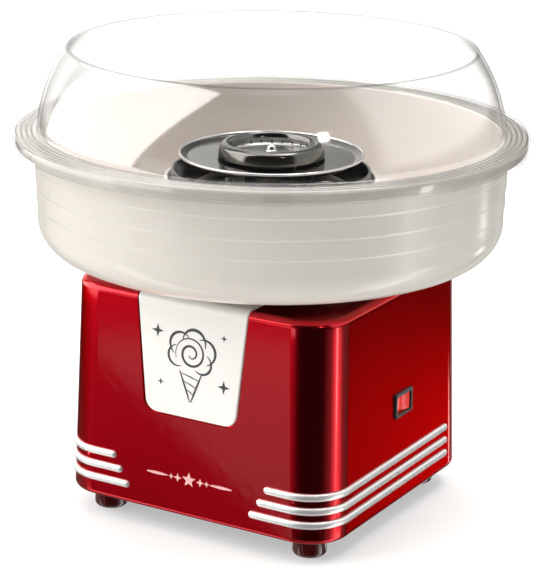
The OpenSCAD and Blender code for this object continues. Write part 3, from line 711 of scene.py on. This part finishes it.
def bowl_skin():
    """The bowl; its inner faces get the second material, a lighter cream that paints light inside the bowl.
    """
    skin = lathe("bowl_skin", bowl_profile(), 256, 30)
    for face, reach, _ in face_places(skin):
        inward = -(face.normal.x * face.center.x + face.normal.y * face.center.y) / MM / reach
        if COLLAR_R + 1.0 < reach < BOWL_WALL_R - 0.6 and (inward > 0.1 or face.normal.z > 0.3):
            face.material_index = 1
    return skin


# ---- rim guard
TAB_ANGLES = (-125, -58, 9, 55, 122, 189)


def guard_arc(inset, z0, z1, steps=26):
    """Points along the guard's curved wall, between two heights, some distance in from its outer face."""
    top = guard_high.z
    rise, run = top - FLANGE_TOP, GUARD_FOOT_R - GUARD_MOUTH_R
    chord = hypot(rise, run)
    bulge = 3.6
    arc_r = (chord * chord / 4 + bulge * bulge) / (2 * bulge)
    cx = (GUARD_FOOT_R + GUARD_MOUTH_R) / 2 - (arc_r - bulge) * rise / chord
    cz = (FLANGE_TOP + top) / 2 - (arc_r - bulge) * run / chord
    r = arc_r - inset
    start, end = (degrees(asin((z - cz) / r)) for z in (z0, z1))
    return sweep(cx, cz, r, start, end, steps)


def guard_profile():
    """Outline of the guard: curved wall with a rolled mouth, ribbed flange and skirt."""
    top = guard_high.z
    outer = guard_arc(0.0, FLANGE_TOP + 1.2, top - 0.9)
    inner = guard_arc(GUARD_T, top - 0.9, FLANGE_Z + 2.4)
    mouth = (Vector(outer[-1]) + Vector(inner[0])) / 2
    half = (Vector(outer[-1]) - Vector(inner[0])) / 2
    roll = []
    for k in range(1, 8):
        a = pi * k / 8
        roll.append((mouth.x + half.x * cos(a) - half.y * sin(a),
                     min(top, mouth.y + half.y * cos(a) + half.x * sin(a))))
    flange = [(inner[-1][0] - 0.4, FLANGE_Z + 0.3), (inner[-1][0] + 0.4, FLANGE_Z)]
    skirt_in = GUARD_R - 1.5
    skirt = rounded([(140, FLANGE_Z, 0), (skirt_in, FLANGE_Z, 0.5), (skirt_in, SKIRT_Z, 0.6),
                     (GUARD_R, SKIRT_Z, 0.6), (GUARD_R, FLANGE_TOP, 1.3), (140, FLANGE_TOP, 0)], 5)[1:-1]
    ribs = []
    for k in (2, 1, 0):
        for a in range(0, 181, 30):
            out, up = 0.8 * cos(radians(a)), 0.5 * sin(radians(a))
            ribs.append((RIB_R + RIB_STEP * k + out, FLANGE_TOP + up))
    fillet = [(138.0, FLANGE_TOP), (137.0, FLANGE_TOP + 0.15), (136.4, FLANGE_TOP + 0.5)]
    return outer + roll + inner + flange + skirt + ribs + fillet


def guard_wall():
    """The guard; its rolled mouth gets the second material and its flange the third."""
    wall = lathe("guard_wall", guard_profile(), 256, 40)
    for face, reach, z in face_places(wall):
        if z > guard_high.z - 1.1:
            face.material_index = 1
        elif reach > FLANGE_R and z < FLANGE_TOP + 1.0:
            face.material_index = 2
    return wall


def guard_tab(angle):
    """One snap tab on the guard's skirt, as a softened block bent round the rim."""
    half = degrees(8.0 / GUARD_R)
    near, far = GUARD_R - 0.9, GUARD_R + 1.0
    low, high = SKIRT_Z - 1.4, FLANGE_Z + 0.8
    outline = rounded([(near, low, 0.3), (far, low, 0.6), (far, high, 0.6), (near, high, 0.1)], 4)
    mid_r, mid_z = (sum(values) / len(outline) for values in zip(*outline))
    rings = []
    for k in range(13):
        size = 1.0 if 0 < k < 12 else 0.75
        a = radians(angle + half * (k / 6 - 1))
        ring = []
        for r, z in outline:
            reach = mid_r + (r - mid_r) * size
            ring.append((reach * cos(a), reach * sin(a), mid_z + (z - mid_z) * size))
        rings.append(ring)
    return loft(f"guard_tab_{angle % 360}", rings, 45)


# ---- head and heater
DISC_T = 0.8
DISC_WELL_R = 44.0
CUP_R = 24.0
CUP_SLOTS = 24


def head_disc():
    """The shallow dish with its rolled bright rim, which gets the second material."""
    rim, low, r = disc_high.z, disc_low.z, disc_high.x
    line = [(5.0, low), (DISC_WELL_R, low)]
    rise, run = rim - 3.6 - low, r - 3.0 - DISC_WELL_R
    line += [(DISC_WELL_R + run * k / 5, low + rise * (k / 5) ** 1.6) for k in range(1, 6)]
    bead = sweep(r - 0.9, rim - 0.9, 0.9, -50, 210, 13)
    under = low + DISC_T
    back = [(r - 3.8, rim - 2.9), (r - 6.0, under + 0.3), (DISC_WELL_R - 0.5, under), (5.0, under)]
    dish = lathe("head_dish", line + bead + back, 160, 50)
    for face, reach, _ in face_places(dish):
        if reach > r - 2.0:
            face.material_index = 1
    return dish


def head_ring():
    """The domed ring round the candy cup."""
    top, low, r = ring_high.z, ring_low.z, ring_high.x
    lip, under = cup_high.z, top - 1.6
    crown = rounded([(r - 0.8, low, 0.2), (r, low + 0.1, 0.3), (r - 1.9, top, 3.4), (CUP_R + 1.4, top, 1.8),
                     (CUP_R, lip, 0.2), (CUP_R + 1.2, lip, 0.2), (CUP_R + 1.6, under, 0.6),
                     (r - 3.9, under, 1.2)], 8)
    return lathe("head_crown", crown, 160, 60)


def head_cup():
    """The slotted cup that holds the candy."""
    low, top = cup_low.z, cup_high.z
    floor, bore = low + 1.0, 2.6
    wall, outer = CUP_R + 0.2, CUP_R + 1.2
    profile = rounded([(bore, floor, 0), (wall, floor, 0), (wall, low, 0), (outer, low, 0), (outer, top, 0.2),
                       (wall, top, 0.2), (wall, floor + 2.0, 1.0), (CUP_R - 1.4, floor + 0.8, 1.0),
                       (bore, floor + 0.8, 0)], 4)
    cup = lathe("candy_cup", profile, 144, 45)
    slots = []
    for k in range(CUP_SLOTS):
        slot = block("slot", (-0.4, 22.0, floor + 1.6), (0.4, 28.0, floor + 3.4))
        a = 2 * pi * k / CUP_SLOTS
        c, s = cos(a), sin(a)
        slots.append(reshape(slot, lambda x, y, z: (x * c - y * s, x * s + y * c, z)))
    bpy.ops.object.select_all(action="DESELECT")
    for slot in slots:
        slot.select_set(True)
    bpy.context.view_layer.objects.active = slots[0]
    bpy.ops.object.join()
    cut(cup, slots[0])
    return cup


def hexagon(k, r, z):
    """The k-th of 48 points of a hexagon with round corners; r is its corner radius."""
    a = radians(7.5 * k)
    flat = r * cos(radians(30)) / cos((a % radians(60)) - radians(30))
    reach = min(flat, r * 0.98)
    return (reach * cos(a), reach * sin(a), z)


def cap_nut():
    """A domed cap nut with six flats."""
    low, dome_z = nut_low.z, nut_low.z + 2.7
    rings = [[hexagon(k, r, z) for k in range(48)]
             for r, z in ((3.5, low), (3.7, low + 0.2), (3.7, low + 2.3), (3.45, low + 2.6))]
    for a in range(0, 91, 15):
        r = 2.9 * cos(radians(a))
        z = dome_z + (nut_high.z - dome_z) * sin(radians(a))
        rings.append([(x, y, z) for x, y in sweep(0, 0, r, 0, 360, 48)[:-1]])
    return loft("cap_nut", rings, 40)


HEATER_FOOT_Z = 143.0


def heater_wall():
    """The heater's round housing with a rolled top edge, a foot flange and the tray."""
    top, foot = housing_high.z, HEATER_FOOT_Z
    outer_r, inner_r, hole_r = 58.3, 57.1, 50
    tray = 178.0
    line = rounded([(hole_r, foot, 0.2), (outer_r, foot, 0.8), (outer_r, top - 2, 0)], 5)[:-1]
    bead = sweep(outer_r - 0.8, top - 0.9, 0.9, -20, 196, 9)
    inner = rounded([(inner_r, 190, 0), (inner_r, tray + 1.2, 1.0), (9.0, tray + 1.2, 0), (9.0, tray, 0),
                     (inner_r, tray, 0), (inner_r, foot + 1.2, 0.8), (hole_r, foot + 1.2, 0.2)], 5)
    return lathe("heater_wall", line + bead + inner, 160, 40)


def seat_ring():
    """The dark ring that the bowl stands on."""
    profile = rounded([(seat_high.x, HEATER_FOOT_Z, 0.2), (seat_high.x, bowl_low.z, 1.0),
                       (60.4, bowl_low.z, 0.6), (60.4, HEATER_FOOT_Z, 0.2)], 4)
    return lathe("seat_ring", profile, 128, 40)


def foot_piece(name, cad_node):
    """A foot, on the place of its CAD node, with a screw's recess from below."""
    low, high = node_box(cad_node)
    profile = rounded([(4.5, 6, 0), (4.5, 0, 0.5), (10.0, 0, 2.6), (9.7, high.z, 0.4), (2.1, high.z, 0),
                       (2.1, 6, 0)], 8)
    mid = (low + high) / 2
    return reshape(lathe(name, profile, 72, 45), lambda x, y, z: (mid.x + x, mid.y + y, z))


def gland_piece():
    """The cord inlet's flanged bush, with a rounded mouth."""
    near, step, far = gland_low.y, INLET_STEP_Y, gland_high.y
    bore, body, flange = 3.6, INLET_R - 0.05, INLET_FLANGE_R - 0.3
    profile = rounded([(bore, near, 0.3), (body, near, 0.3), (body, step, 0), (flange, step, 0.2),
                       (flange, far, 0.9), (bore, far, 1.0)], 6)
    return at_inlet(lathe("inlet_bush", profile, 72, 40))


# ---- material helpers
def new_material(name):
    m = bpy.data.materials.new(name)
    m.use_nodes = True
    return m, m.node_tree, m.node_tree.nodes["Principled BSDF"]


def feed(tree, made, sockets):
    """Sets a node's sockets: a number or colour is written, and another node's output is linked."""
    for key, value in sockets.items():
        socket = made.inputs[key.replace("_", " ") if isinstance(key, str) else key]
        if isinstance(value, bpy.types.NodeSocket):
            tree.links.new(value, socket)
        else:
            socket.default_value = value


def node(tree, kind, settings=None, **sockets):
    """A shader node, with its settings made and its sockets fed."""
    made = tree.nodes.new(kind)
    for key, value in (settings or {}).items():
        setattr(made, key, value)
    feed(tree, made, sockets)
    return made


def math_node(tree, operation, *values):
    made = node(tree, "ShaderNodeMath", {"operation": operation})
    feed(tree, made, dict(enumerate(values)))
    return made.outputs["Value"]


def object_coords(tree, scale=1.0):
    """Object coordinates, which are the row frame, scaled."""
    coords = node(tree, "ShaderNodeTexCoord").outputs["Object"]
    return node(tree, "ShaderNodeMapping", Vector=coords, Scale=(scale,) * 3).outputs["Vector"]


def spin_place(tree, scale=1.0):
    """A point's distance from the spin axis, and its height."""
    parts = node(tree, "ShaderNodeSeparateXYZ", Vector=object_coords(tree, scale)).outputs
    flat = node(tree, "ShaderNodeCombineXYZ", X=parts["X"], Y=parts["Y"])
    reach = node(tree, "ShaderNodeVectorMath", {"operation": "LENGTH"}, Vector=flat.outputs["Vector"])
    return reach.outputs["Value"], parts["Z"]


def noise(tree, scale, detail=3.0, roughness=0.5, place=None):
    place = object_coords(tree) if place is None else place
    made = node(tree, "ShaderNodeTexNoise", Vector=place, Scale=scale, Detail=detail, Roughness=roughness)
    return made.outputs["Fac"]


def ramp(tree, value, stops):
    """A colour ramp from (position, colour) stops."""
    made = node(tree, "ShaderNodeValToRGB", Fac=value)
    elements = made.color_ramp.elements
    while len(elements) < len(stops):
        elements.new(0.5)
    for element, (at, colour) in zip(elements, stops):
        element.position = at
        element.color = (*colour, 1)
    return made.outputs["Color"]


def grey_ramp(tree, value, stops):
    """A ramp of greys from (position, value) stops."""
    return ramp(tree, value, [(at, (v, v, v)) for at, v in stops])


def bump(tree, height, strength, distance):
    """The normal of a surface with small bumps of that height."""
    return node(tree, "ShaderNodeBump", Height=height, Strength=strength, Distance=distance).outputs["Normal"]


# ---- materials
def plastic(name, colour, rough, coat=0.0, vary=0.04, sss=0.0):
    """A moulded plastic: slight mottling in its colour and gloss, and a fine grain."""
    m, tree, bsdf = new_material(name)
    low = [c * (1 - vary) for c in colour]
    high = [min(1, c * (1 + vary * 0.6)) for c in colour]
    feed(tree, bsdf, {
        "Base Color": ramp(tree, noise(tree, 14.0, 4.0), [(0.35, low), (0.65, high)]),
        "Roughness": grey_ramp(tree, noise(tree, 45.0, 5.0, 0.6), [(0.3, rough), (0.75, rough + 0.06)]),
        "Normal": bump(tree, noise(tree, 900.0, 2.0), 0.25, 0.00002),
        "Coat Weight": coat,
        "Coat Roughness": 0.04,
    })
    if sss:
        feed(tree, bsdf, {
            "Subsurface Weight": sss,
            "Subsurface Radius": (0.006, 0.005, 0.003),
            "Subsurface Scale": 0.4,
        })
    return m


def metal(name, colour, rough, spun=0.0, brushed=0.0, vary=0.05, rough_vary=0.08, metallic=1.0):
    """A metal with slight staining; spun gives rings about the spin axis, brushed gives a stronger grain."""
    m, tree, bsdf = new_material(name)
    if spun:
        reach, height = spin_place(tree)
        rings = node(tree, "ShaderNodeCombineXYZ", X=reach, Z=height).outputs["Vector"]
        normal = bump(tree, noise(tree, 1400.0, 2.0, place=rings), spun, 0.00003)
        feed(tree, bsdf, {"Anisotropic": 0.4})
    elif brushed:
        normal = bump(tree, noise(tree, 600.0, 3.0, 0.6), brushed, 0.00003)
    else:
        normal = bump(tree, noise(tree, 600.0), 0.12, 0.00002)
    low = [c * (1 - vary) for c in colour]
    feed(tree, bsdf, {
        "Base Color": ramp(tree, noise(tree, 22.0, 5.0, 0.6), [(0.35, low), (0.7, colour)]),
        "Roughness": grey_ramp(tree, noise(tree, 80.0, 4.0), [(0.3, rough), (0.8, rough + rough_vary)]),
        "Metallic": metallic,
        "Normal": normal,
    })
    return m


def red_lacquer():
    """Candy red: a metallic base with fine flake under a clear coat."""
    m, tree, bsdf = new_material("red_lacquer")
    flake = node(tree, "ShaderNodeTexVoronoi", Vector=object_coords(tree), Scale=2600.0)
    cell = node(tree, "ShaderNodeSeparateColor", Color=flake.outputs["Color"]).outputs["Red"]
    reds = [(0.0, (0.57, 0.003, 0.012)), (0.82, (0.60, 0.004, 0.014)), (1.0, (0.66, 0.008, 0.02))]
    feed(tree, bsdf, {
        "Base Color": ramp(tree, cell, reds),
        "Roughness": grey_ramp(tree, noise(tree, 9.0), [(0.3, 0.235), (0.7, 0.26)]),
        "Metallic": 1.0,
        "Specular Tint": (1.0, 0.22, 0.2, 1),
        "Normal": bump(tree, noise(tree, 2200.0, 1.0), 0.04, 0.00001),
        "Coat Weight": 0.62,
        "Coat Roughness": 0.02,
        "Coat IOR": 1.5,
        "Coat Tint": (1.0, 0.93, 0.93, 1),
        "Coat Normal": bump(tree, noise(tree, 160.0, 2.0), 0.05, 0.0003),
    })
    return m


def clear_guard(name, head_on, grazed, gloss_low, gloss_high, lines=False):
    """Clear moulded styrene: it shows what is behind, with gloss that grows toward its edges.

    head_on and grazed are the shares of light let through; lines paints shade as darker rings over the
    grooves between the ribs.
    """
    m, tree, bsdf = new_material(name)
    tree.nodes.remove(bsdf)
    facing = node(tree, "ShaderNodeLayerWeight", Blend=0.5).outputs["Facing"]
    tint = grey_ramp(tree, facing, [(0.0, head_on), (0.75, 0.965 * head_on), (1.0, grazed)])
    if lines:
        # Painted shade: the tint darkens in rings over the grooves between the flange's ribs.
        past = math_node(tree, "SUBTRACT", spin_place(tree, 1 / MM)[0], FLANGE_R)
        within = math_node(tree, "FRACT", math_node(tree, "DIVIDE", past, RIB_STEP))
        groove = grey_ramp(tree, within, [(0.0, 0.66), (0.12, 0.7), (0.26, 1.0), (0.9, 1.0), (1.0, 0.66)])
        both = node(tree, "ShaderNodeVectorMath", {"operation": "MULTIPLY"})
        feed(tree, both, {0: tint, 1: groove})
        tint = both.outputs["Vector"]
    through = node(tree, "ShaderNodeBsdfTransparent", Color=tint)
    gloss = node(tree, "ShaderNodeBsdfAnisotropic", Color=(1, 1, 1, 1),
                 Roughness=grey_ramp(tree, noise(tree, 30.0), [(0.3, 0.03), (0.8, 0.07)]),
                 Normal=bump(tree, noise(tree, 24.0, 2.0), 0.06, 0.0004))
    grazing = math_node(tree, "POWER", facing, 5.0)
    edge = node(tree, "ShaderNodeMapRange", Value=grazing, To_Min=gloss_low, To_Max=gloss_high)
    mix = node(tree, "ShaderNodeMixShader", Fac=edge.outputs["Result"])
    feed(tree, mix, {1: through.outputs["BSDF"], 2: gloss.outputs["BSDF"]})
    feed(tree, tree.nodes["Material Output"], {"Surface": mix.outputs["Shader"]})
    return m


def glow_painted_lens():
    """Red rocker plastic whose emission, strongest at its front end, is painted light for the light falling
    on that half.
    """
    m, tree, bsdf = new_material("glow_painted_lens")
    parts = node(tree, "ShaderNodeSeparateXYZ", Vector=object_coords(tree, 1 / MM))
    # Painted light: the glow runs from the back end to the front (-Y) end, the half that is lit most.
    glow = node(tree, "ShaderNodeMapRange", Value=parts.outputs["Y"], From_Min=8.0, From_Max=-5.0)
    reds = [(0.3, (0.62, 0.015, 0.012)), (0.7, (0.74, 0.03, 0.02))]
    painted_glow_reds = [(0.0, (0.16, 0.006, 0.004)), (0.6, (0.45, 0.012, 0.006)), (1.0, (0.85, 0.045, 0.018))]
    feed(tree, bsdf, {
        "Base Color": ramp(tree, noise(tree, 60.0), reds),
        "Roughness": 0.22,
        "Coat Weight": 0.15,
        "Coat Roughness": 0.08,
        "Emission Color": ramp(tree, glow.outputs["Result"], painted_glow_reds),
        "Emission Strength": 0.7,
    })
    return m


def board_green():
    """A circuit board's green, with pale tracks in a grid."""
    m, tree, bsdf = new_material("board_green")
    grid = node(tree, "ShaderNodeTexVoronoi", {"feature": "DISTANCE_TO_EDGE", "distance": "MANHATTAN"},
                Vector=object_coords(tree), Scale=180.0)
    greens = [(0.0, (0.10, 0.24, 0.08)), (0.12, (0.02, 0.13, 0.05))]
    feed(tree, bsdf, {"Base Color": ramp(tree, grid.outputs["Distance"], greens), "Roughness": 0.35})
    return m


# One material for each of the record's slots, by the slot's name.
materials = {
    "red_paint": red_lacquer(),
    "clear_plastic": clear_guard("clear_guard", 0.985, 0.60, 0.075, 0.7),
    "red_lens": glow_painted_lens(),
    "green_board": board_green(),
}
for slot, colour, rough, more in (
    ("cream_plastic", (0.61, 0.584, 0.533), 0.20, {"coat": 0.25, "vary": 0.02, "sss": 0.15}),
    ("red_plastic", (0.055, 0.002, 0.003), 0.10, {"coat": 0.55}),
    ("black_plastic", (0.02, 0.02, 0.021), 0.26, {"coat": 0.2, "vary": 0.2}),
    ("dark_enamel", (0.035, 0.033, 0.032), 0.30, {"coat": 0.3, "vary": 0.2}),
    ("ceramic", (0.78, 0.76, 0.70), 0.45, {}),
    ("ferrite", (0.05, 0.05, 0.055), 0.55, {}),
    ("black_rubber", (0.025, 0.025, 0.025), 0.60, {}),
    ("white_nylon", (0.74, 0.73, 0.70), 0.40, {}),
    ("lead_black", (0.03, 0.03, 0.03), 0.40, {}),
    ("lead_red", (0.45, 0.03, 0.03), 0.40, {}),
    ("lead_white", (0.72, 0.71, 0.67), 0.50, {}),
):
    materials[slot] = plastic(slot, colour, rough, **more)
for slot, colour, rough, more in (
    ("bright_trim", (0.92, 0.92, 0.915), 0.38, {"brushed": 0.06, "metallic": 0.8}),
    ("polished_aluminium", (0.50, 0.495, 0.48), 0.10, {"spun": 0.25}),
    ("aluminium_sheet", (0.62, 0.62, 0.61), 0.30, {"spun": 0.3}),
    ("zinc_steel", (0.60, 0.61, 0.63), 0.32, {}),
    ("polished_steel", (0.74, 0.74, 0.75), 0.14, {}),
    ("brass_parts", (0.78, 0.58, 0.26), 0.28, {}),
    ("bronze_bush", (0.60, 0.36, 0.16), 0.38, {}),
    ("element_sheath", (0.22, 0.20, 0.19), 0.45, {}),
    ("copper_winding", (0.72, 0.36, 0.20), 0.30, {"brushed": 0.3}),
):
    materials[slot] = metal(slot, colour, rough, **more)

# Materials that only some shown pieces, or some of their faces, have.
# Painted light: a lighter copy of the cream for the bowl's inside, standing in for how light falls there.
cream_inside_painted_light = plastic("cream_inside_painted_light", (0.74, 0.69, 0.65), 0.22, coat=0.15, vary=0.03, sss=0.15)
badge_white = plastic("badge_white", (0.78, 0.775, 0.75), 0.16, coat=0.4, vary=0.01)
ink_grey = plastic("ink_grey", (0.045, 0.045, 0.05), 0.30, coat=0.2, vary=0.1)
ink_pink = plastic("ink_pink", (0.78, 0.42, 0.40), 0.35, vary=0.05)
clear_edge = clear_guard("clear_edge", 0.72, 0.45, 0.03, 0.2)
# The flange's clear plastic carries painted shade in rings over its rib grooves.
clear_flange = clear_guard("clear_flange", 0.935, 0.8, 0.05, 0.3, lines=True)
clear_tab = clear_guard("clear_tab", 1.0, 0.9, 0.03, 0.3)
cup_metal = metal("cup_metal", (0.40, 0.396, 0.38), 0.26, spun=0.3)
dark_mirror = metal("dark_mirror", (0.165, 0.162, 0.153), 0.11, spun=0.22, vary=0.12, rough_vary=0.05)


# ---- build
record_slots = {row["node"]: row["material_slot"] for row in frame["record"]["subparts"]}
for name, cad in frame["nodes"].items():
    cad.data.materials.clear()
    cad.data.materials.append(materials[record_slots[name]])
    cad.data.shade_smooth()
    cad.data.set_sharp_from_angle(angle=radians(32))


def show(piece, body, replaced=None, skin=None, slot=None, more=()):
    """Finishes a shown piece: its materials, the body it rides with, and the CAD node it replaces, which it
    hides.

    A piece gets its slot's material, by default the replaced node's slot, unless skin is given.
    """
    slot = slot or record_slots[replaced]
    chosen = [face.material_index for face in piece.data.polygons]
    piece.data.materials.clear()
    for m in (skin or materials[slot], *more):
        piece.data.materials.append(m)
    piece.data.polygons.foreach_set("material_index", chosen)
    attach(piece, body)
    if replaced:
        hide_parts(replaced)


show(case_shell(), "base", "base_shell")
show(badge_panel(), "base", "front_panel", badge_white)
show(badge_motif(), "base", skin=ink_grey, slot="black_plastic")
show(case_ornament(), "base", skin=ink_pink, slot="bright_trim")
for side, word in ((1, "right"), (-1, "left")):
    for i, height in enumerate(("top", "middle", "bottom")):
        show(bar_solid(f"trim_{word}_{height}", i, side, True), "base", f"trim_bar_{word}_{height}")
show(bezel_frame(), "base", "switch_bezel")
show(rocker_lens(), "rocker", "switch_rocker")
show(bowl_skin(), "bowl", "bowl", more=[cream_inside_painted_light])
show(guard_wall(), "guard", "rim_guard", more=[clear_edge, clear_flange])
for angle in TAB_ANGLES:
    show(guard_tab(angle), "guard", skin=clear_tab, slot="clear_plastic")
show(head_disc(), "head", "head_disc", dark_mirror, more=[materials["polished_steel"]])
show(head_ring(), "head", "head_ring", dark_mirror)
show(head_cup(), "head", "head_cup", cup_metal)
show(cap_nut(), "head", "head_cap_nut")
show(heater_wall(), "base", "heater_housing")
show(seat_ring(), "base", "bowl_seat")
for word in ("front_right", "front_left", "rear_right", "rear_left"):
    show(foot_piece(f"foot_turned_{word}", f"foot_{word}"), "base", f"foot_{word}")
show(gland_piece(), "base", "cord_gland")


# ---- floor, light and camera
FLOOR_HALF = 6  # in metres
floor_mesh = bpy.data.meshes.new("floor")
corners = [(x * FLOOR_HALF, y * FLOOR_HALF, 0) for x, y in ((-1, -1), (1, -1), (1, 1), (-1, 1))]
floor_mesh.from_pydata(corners, [], [(0, 1, 2, 3)])
floor = bpy.data.objects.new("floor", floor_mesh)
scene.collection.objects.link(floor)
floor_paint, tree, bsdf = new_material("floor_paint")
feed(tree, bsdf, {
    "Base Color": grey_ramp(tree, noise(tree, 3.0, 2.0), [(0.3, 0.57), (0.7, 0.59)]),
    "Roughness": 0.9,
    "Specular IOR Level": 0.1,
    "Emission Color": (1, 1, 1, 1),
    "Emission Strength": 0.42,
})
floor_mesh.materials.append(floor_paint)
floor.visible_glossy = False


# Softboxes of the studio: azimuth from the front (-Y) towards the switch (+X), and elevation, in degrees.
# Lean is how far a box's sides move in azimuth with each degree of elevation. Boxes that overlap add up.
STUDIO = [
    # az low, az high, el low, el high, softness, lean, radiance
    (-104, -37, -7, 54, 1.5, 0.55, 4.4),  # the large box at the front left
    (-150, -106, -8, 62, 3.0, 0, 1.2),  # the pale wall beside it
    (-110, -12, -12.8, -7, 0.8, 0, 2.3),  # the lit wall below it
    (-34, -12, -7, 4, 2.0, 0, 0.6),  # its fading edge
    (-53.7, -46.6, -90, -15.5, 0.6, -1.2, 0.68),  # the white table top
    (-112, -46, -90, -20, 4.0, 0, 0.30),  # the table's far left
    (98, 104, -17, -9, 1.5, 0, 6.0),  # a strip at the right
    (98, 104, -60, -17, 1.5, 0, 2.0),  # its reflection in the table
    (88, 116, -60, -9, 6.0, 0, 0.75),  # the glow round it
    (70, 142, -60, -9, 8.0, 0, 0.22),  # and the wider one
    (107, 120, -70, -23, 1.5, 0, 3.0),  # the table's lit right part
    (-58, -39, -70, -24, 2.0, 0, 1.8),  # and its lit left part
    (54.5, 59.5, 23, 29, 1.0, 0, 14.0),  # a small lamp, seen as a dot in the guard
    (84, 176, 0, 66, 6.0, 0, 1.1),  # a dim box at the right
    (84, 176, 62, 86, 5.0, 0, 4.5),  # a bright one above it
    (-14, 150, -90, -38, 5.0, 0, 0.35),  # the floor close by
    (156, 162, -24, -18, 1.0, 0, 5.4),  # a low card behind the right side
    (174, 246, -90, 4, 3.5, 0, 0.45),  # the white backdrop
    (172, 246, 4, 70, 6.0, 0, 0.40),  # the backdrop's upper part
]
ZENITH = (60, 5.0, 2.7)  # the overhead box: lowest elevation, softness, radiance
AMBIENT = 0.02
BACKGROUND = 1.25  # what the camera itself sees behind the object
SEAM = -125  # azimuth where the far side's azimuths start again, for boxes that cross 180

world = bpy.data.worlds.new("studio")
scene.world = world
world.use_nodes = True
tree = world.node_tree


def plus(a, b):
    return math_node(tree, "ADD", a, b)


def times(a, b):
    return math_node(tree, "MULTIPLY", a, b)


def step(value, start, end, first, last):
    """A smooth step from first to last, as the value runs from start to end."""
    made = node(tree, "ShaderNodeMapRange", {"interpolation_type": "SMOOTHSTEP"}, Value=value,
                From_Min=start, From_Max=end, To_Min=first, To_Max=last)
    return made.outputs["Result"]


def band(value, low, high, soft_low, soft_high):
    """1 between low and high, with soft sides."""
    return times(step(value, low - soft_low, low + soft_low, 0.0, 1.0),
                 step(value, high - soft_high, high + soft_high, 1.0, 0.0))


direction = node(tree, "ShaderNodeTexCoord").outputs["Generated"]
xyz = node(tree, "ShaderNodeSeparateXYZ", Vector=direction).outputs
azimuth = times(math_node(tree, "ARCTAN2", xyz["X"], times(xyz["Y"], -1.0)), 180 / pi)
far_azimuth = plus(azimuth, times(math_node(tree, "LESS_THAN", azimuth, SEAM), 360.0))
elevation = times(math_node(tree, "ARCSINE", xyz["Z"]), 180 / pi)
level = plus(times(band(elevation, ZENITH[0], 100, ZENITH[1], 1.0), ZENITH[2]), AMBIENT)
for az_low, az_high, el_low, el_high, soft, lean, radiance in STUDIO:
    heading = far_azimuth if az_high > -SEAM else azimuth
    if lean:
        heading = math_node(tree, "SUBTRACT", heading, times(elevation, lean))
    across = band(heading, az_low, az_high, soft, soft)
    up = band(elevation, el_low, el_high, min(soft, 4.0), min(soft, 4.0))
    level = plus(level, times(times(across, up), radiance))
seen = node(tree, "ShaderNodeLightPath").outputs["Is Camera Ray"]
level = plus(times(level, math_node(tree, "SUBTRACT", 1.0, seen)), times(seen, BACKGROUND))
feed(tree, tree.nodes["Background"], {"Color": (1.0, 0.985, 0.96, 1), "Strength": level})

# The camera, solved from the photographed edges: angles in degrees, lengths in metres.
CAMERA_AZ = 30.4552
CAMERA_PITCH = 16.7628
CAMERA_ROLL = 0.8741
CAMERA_BACK = 1.3319
CAMERA_TARGET = Vector((0, 0, 0.135))
CAMERA_LENS = 141.13
CAMERA_SHIFT = (0.01476, -0.0144)

az, pitch, roll = (radians(v) for v in (CAMERA_AZ, CAMERA_PITCH, CAMERA_ROLL))
toward = Vector((sin(az) * cos(pitch), -cos(az) * cos(pitch), sin(pitch)))
camera_data = bpy.data.cameras.new("camera")
camera_data.lens = CAMERA_LENS
camera_data.sensor_width = 36
camera_data.shift_x, camera_data.shift_y = CAMERA_SHIFT
camera_data.clip_end = 50
camera = bpy.data.objects.new("camera", camera_data)
scene.collection.objects.link(camera)
camera.location = CAMERA_TARGET + toward * CAMERA_BACK
camera.rotation_mode = "QUATERNION"
camera.rotation_quaternion = toward.to_track_quat("Z", "Y") @ Quaternion((0, 0, 1), roll)
scene.camera = camera
scene.view_settings.view_transform = "Standard"
scene.view_settings.look = "None"
